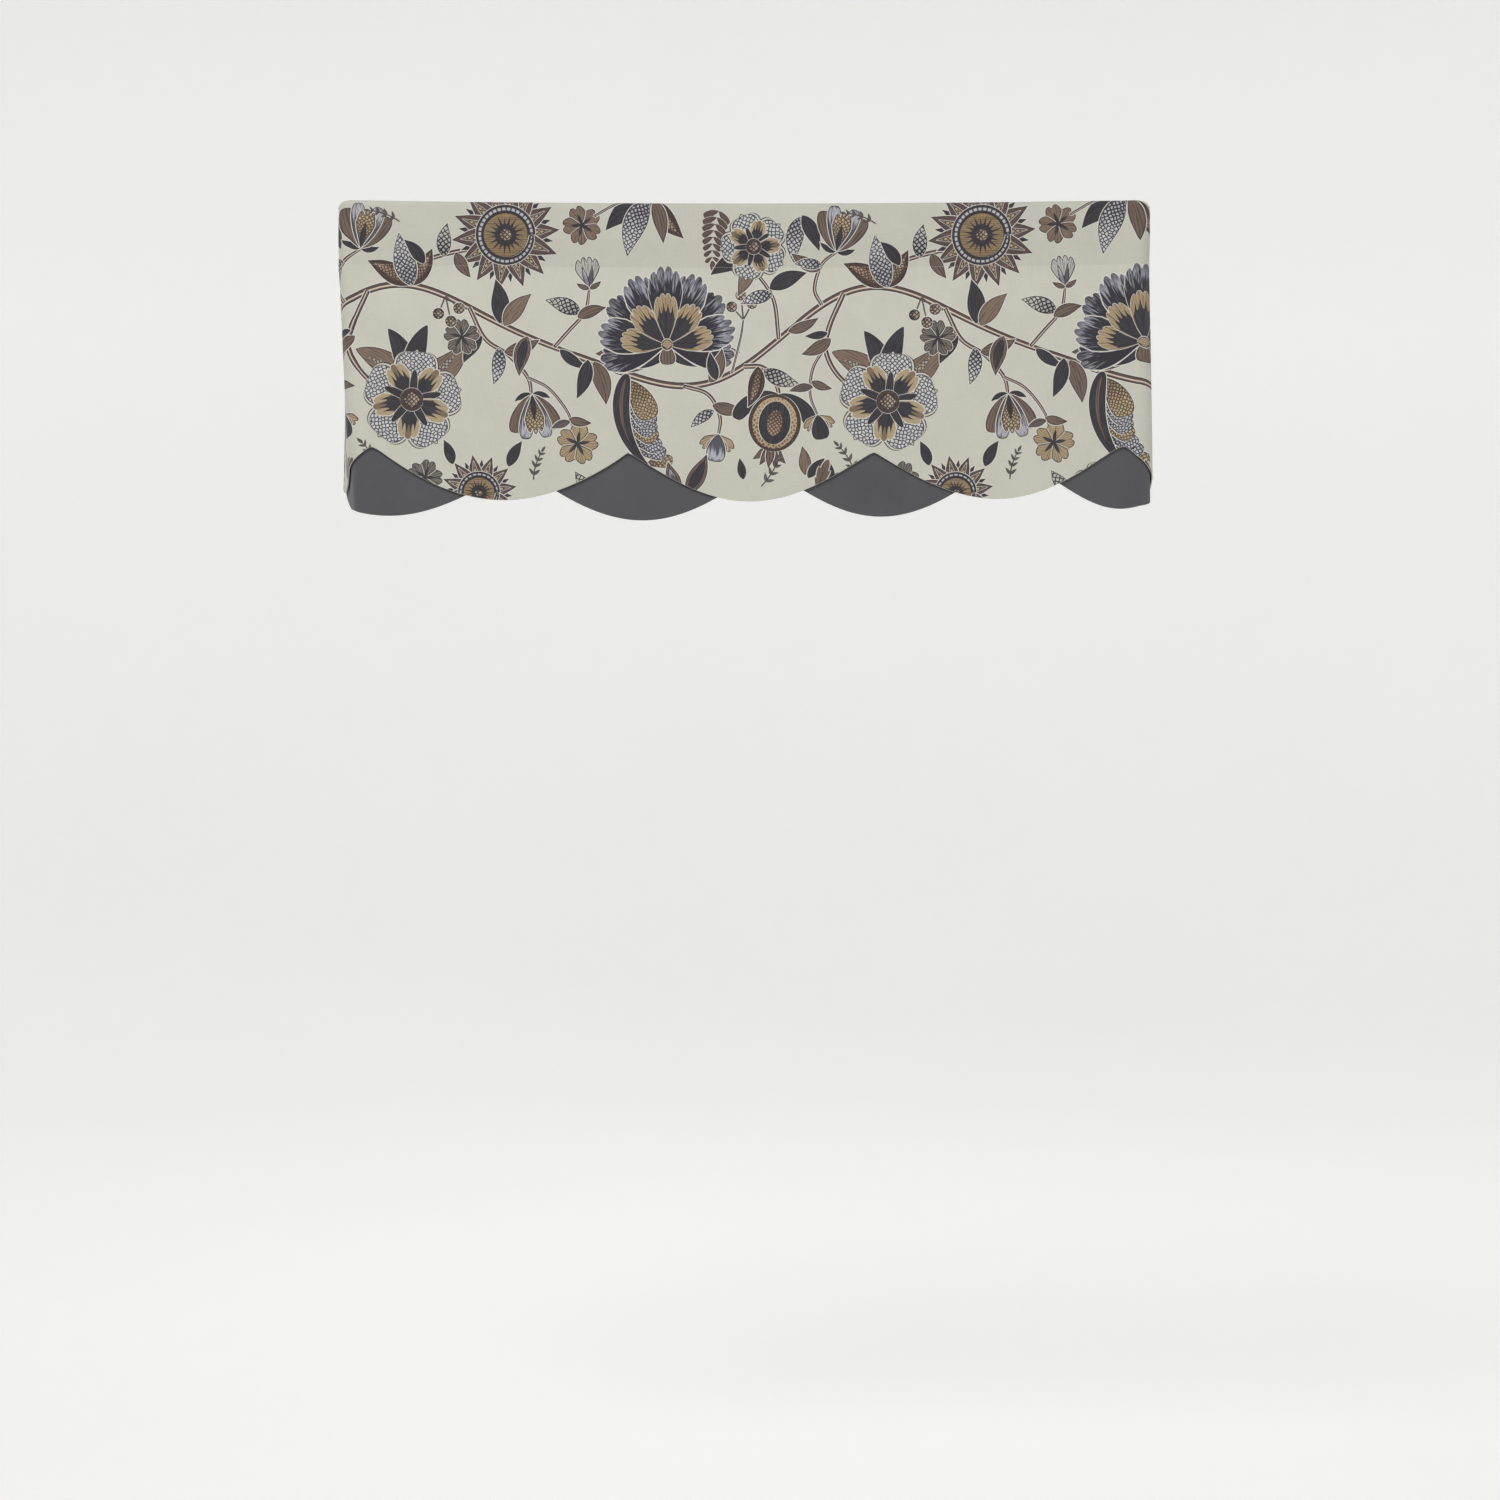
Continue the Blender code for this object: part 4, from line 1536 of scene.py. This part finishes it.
def stitches():
    """The thread of the pocket's seam, on the front and on the back."""
    mesh = bmesh.new()
    end = LINE_END - SEAM_MARGIN
    corner = np.linspace(CORNER_START - CORNER_MARGIN, CORNER_END + CORNER_MARGIN, CORNER_MARKS)
    marks = np.concatenate([[-end], -corner[::-1], corner, [end]])
    for low, high in zip(marks, marks[1:]):
        stitched(mesh, overlay_at, (low, SEAM_DROP), (high, SEAM_DROP), True, GROOVE_DEPTH)
        stitched(mesh, petticoat_at, (low, SEAM_DROP), (high, SEAM_DROP), False)
    return added("seam_stitches", as_mesh("seam_stitches", mesh, thread_material()))


# ---------------------------------------------------------------- camera, light and studio

VIEW_DISTANCE = 3.5
CAMERA_PLACE = (0.008, -POCKET_FRONT - THICKNESS / 2 - VIEW_DISTANCE, -0.7465)
FRAME_WIDTH = 2.0445  # what the photo's frame spans at the valance's face
SENSOR = 36.0

FLOOR = -1.95
FLOOR_RINGS = 0.02, 2.0, 4.5
STUDIO_RADIUS = 8.0
WALL_BEND = 3.0
WALL_HEIGHT = 8.0
WALL_SIDES = 64
STUDIO_GLOW = 0.34  # keeps the wall behind the valance near white, as in the photo
GLOW_START, GLOW_FULL = -6.0, 3.0  # the glow grows from the studio's front to its back
BLACK, WHITE = (0, 0, 0), (255, 255, 255)
STUDIO_GREYS = (228, 228, 226), (232, 232, 230)

WORLD_LIGHT = 0.26
LIGHT_TARGET = (0, 0, -0.2)
Light = namedtuple("Light", "name place size power")
LIGHTS = (
    Light("key", (-1.2, -2.8, 2.4), 1.6, 92),
    Light("fill", (2.6, -2.6, 0.2), 2.4, 24),
    Light("back", (0.6, 3.4, 2.2), 3.0, 30),
)


def camera():
    """The photo's view: level and from in front."""
    data = bpy.data.cameras.new("camera")
    data.sensor_width = SENSOR
    data.lens = SENSOR * VIEW_DISTANCE / FRAME_WIDTH
    data.clip_end = 60
    made = added("camera", data)
    made.location = CAMERA_PLACE
    made.rotation_euler = (math.pi / 2, 0, 0)
    bpy.context.scene.camera = made


def studio():
    """A pale floor that curves up into a round wall, far from the valance."""
    profile = [(radius, 0.0) for radius in FLOOR_RINGS]
    profile += [(STUDIO_RADIUS - WALL_BEND + WALL_BEND * math.sin(a), WALL_BEND * (1 - math.cos(a)))
                for a in np.linspace(0, math.pi / 2, 14)]
    profile += [(STUDIO_RADIUS, WALL_HEIGHT)]
    mesh = bmesh.new()
    points = [mesh.verts.new((radius, 0, FLOOR + height)) for radius, height in profile]
    for low, high in zip(points, points[1:]):
        mesh.edges.new((low, high))
    bmesh.ops.spin(mesh, geom=mesh.verts[:] + mesh.edges[:], cent=(0, 0, 0), axis=(0, 0, 1),
                   angle=2 * math.pi, steps=WALL_SIDES, use_merge=True)
    bmesh.ops.remove_doubles(mesh, verts=mesh.verts, dist=0.0005)
    added("studio", as_mesh("studio", mesh, studio_material()))


def studio_material():
    """A pale grey that glows a little more towards the back."""
    material = Material("studio", 0.9)
    material.shader.inputs["Emission Strength"].default_value = STUDIO_GLOW
    place = material.in_space()
    share = material.parts(place)[1].step(GLOW_START, GLOW_FULL)
    glow = material.mix(share, opaque(BLACK), opaque(WHITE))
    soft = material.noise(place, 0.6, 2.0)
    colour = material.mix(soft, *map(opaque, STUDIO_GREYS))
    material.tree.links.new(glow.socket, material.shader.inputs["Emission Color"])
    material.tree.links.new(colour.socket, material.shader.inputs["Base Color"])
    return material.data


def add_light(light):
    """A round soft light that faces the valance."""
    data = bpy.data.lights.new(light.name, "AREA")
    data.shape = "DISK"
    data.size = light.size
    data.energy = light.power
    made = added(light.name, data)
    made.location = light.place
    to_target = Vector(LIGHT_TARGET) - Vector(light.place)
    made.rotation_euler = to_target.to_track_quat("-Z", "Y").to_euler()


def lights():
    """A dim white world and three round lights."""
    world = bpy.data.worlds.new("studio_light")
    world.use_nodes = True
    background = world.node_tree.nodes["Background"]
    background.inputs["Color"].default_value = (1.0, 1.0, 1.0, 1.0)
    background.inputs["Strength"].default_value = WORLD_LIGHT
    bpy.context.scene.world = world
    for light in LIGHTS:
        add_light(light)


camera()
lights()
studio()

overlay_piece, overlay_cut = overlay()
petticoat_piece, petticoat_cut = petticoat()
seam = stitches()

slots = (overlay_piece, "printed_cotton"), (petticoat_piece, "grey_cotton"), (seam, "printed_cotton")
for piece, slot_name in slots:
    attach(piece, "root")
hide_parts("overlay")
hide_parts("petticoat")
flat_size(overlay_cut)
enclosed(overlay_cut)
flat_size(petticoat_cut)
enclosed(petticoat_cut)

bpy.context.scene.view_settings.view_transform = "Standard"


def corners(box):
    return [[round(float(value), 5) for value in corner] for corner in box]
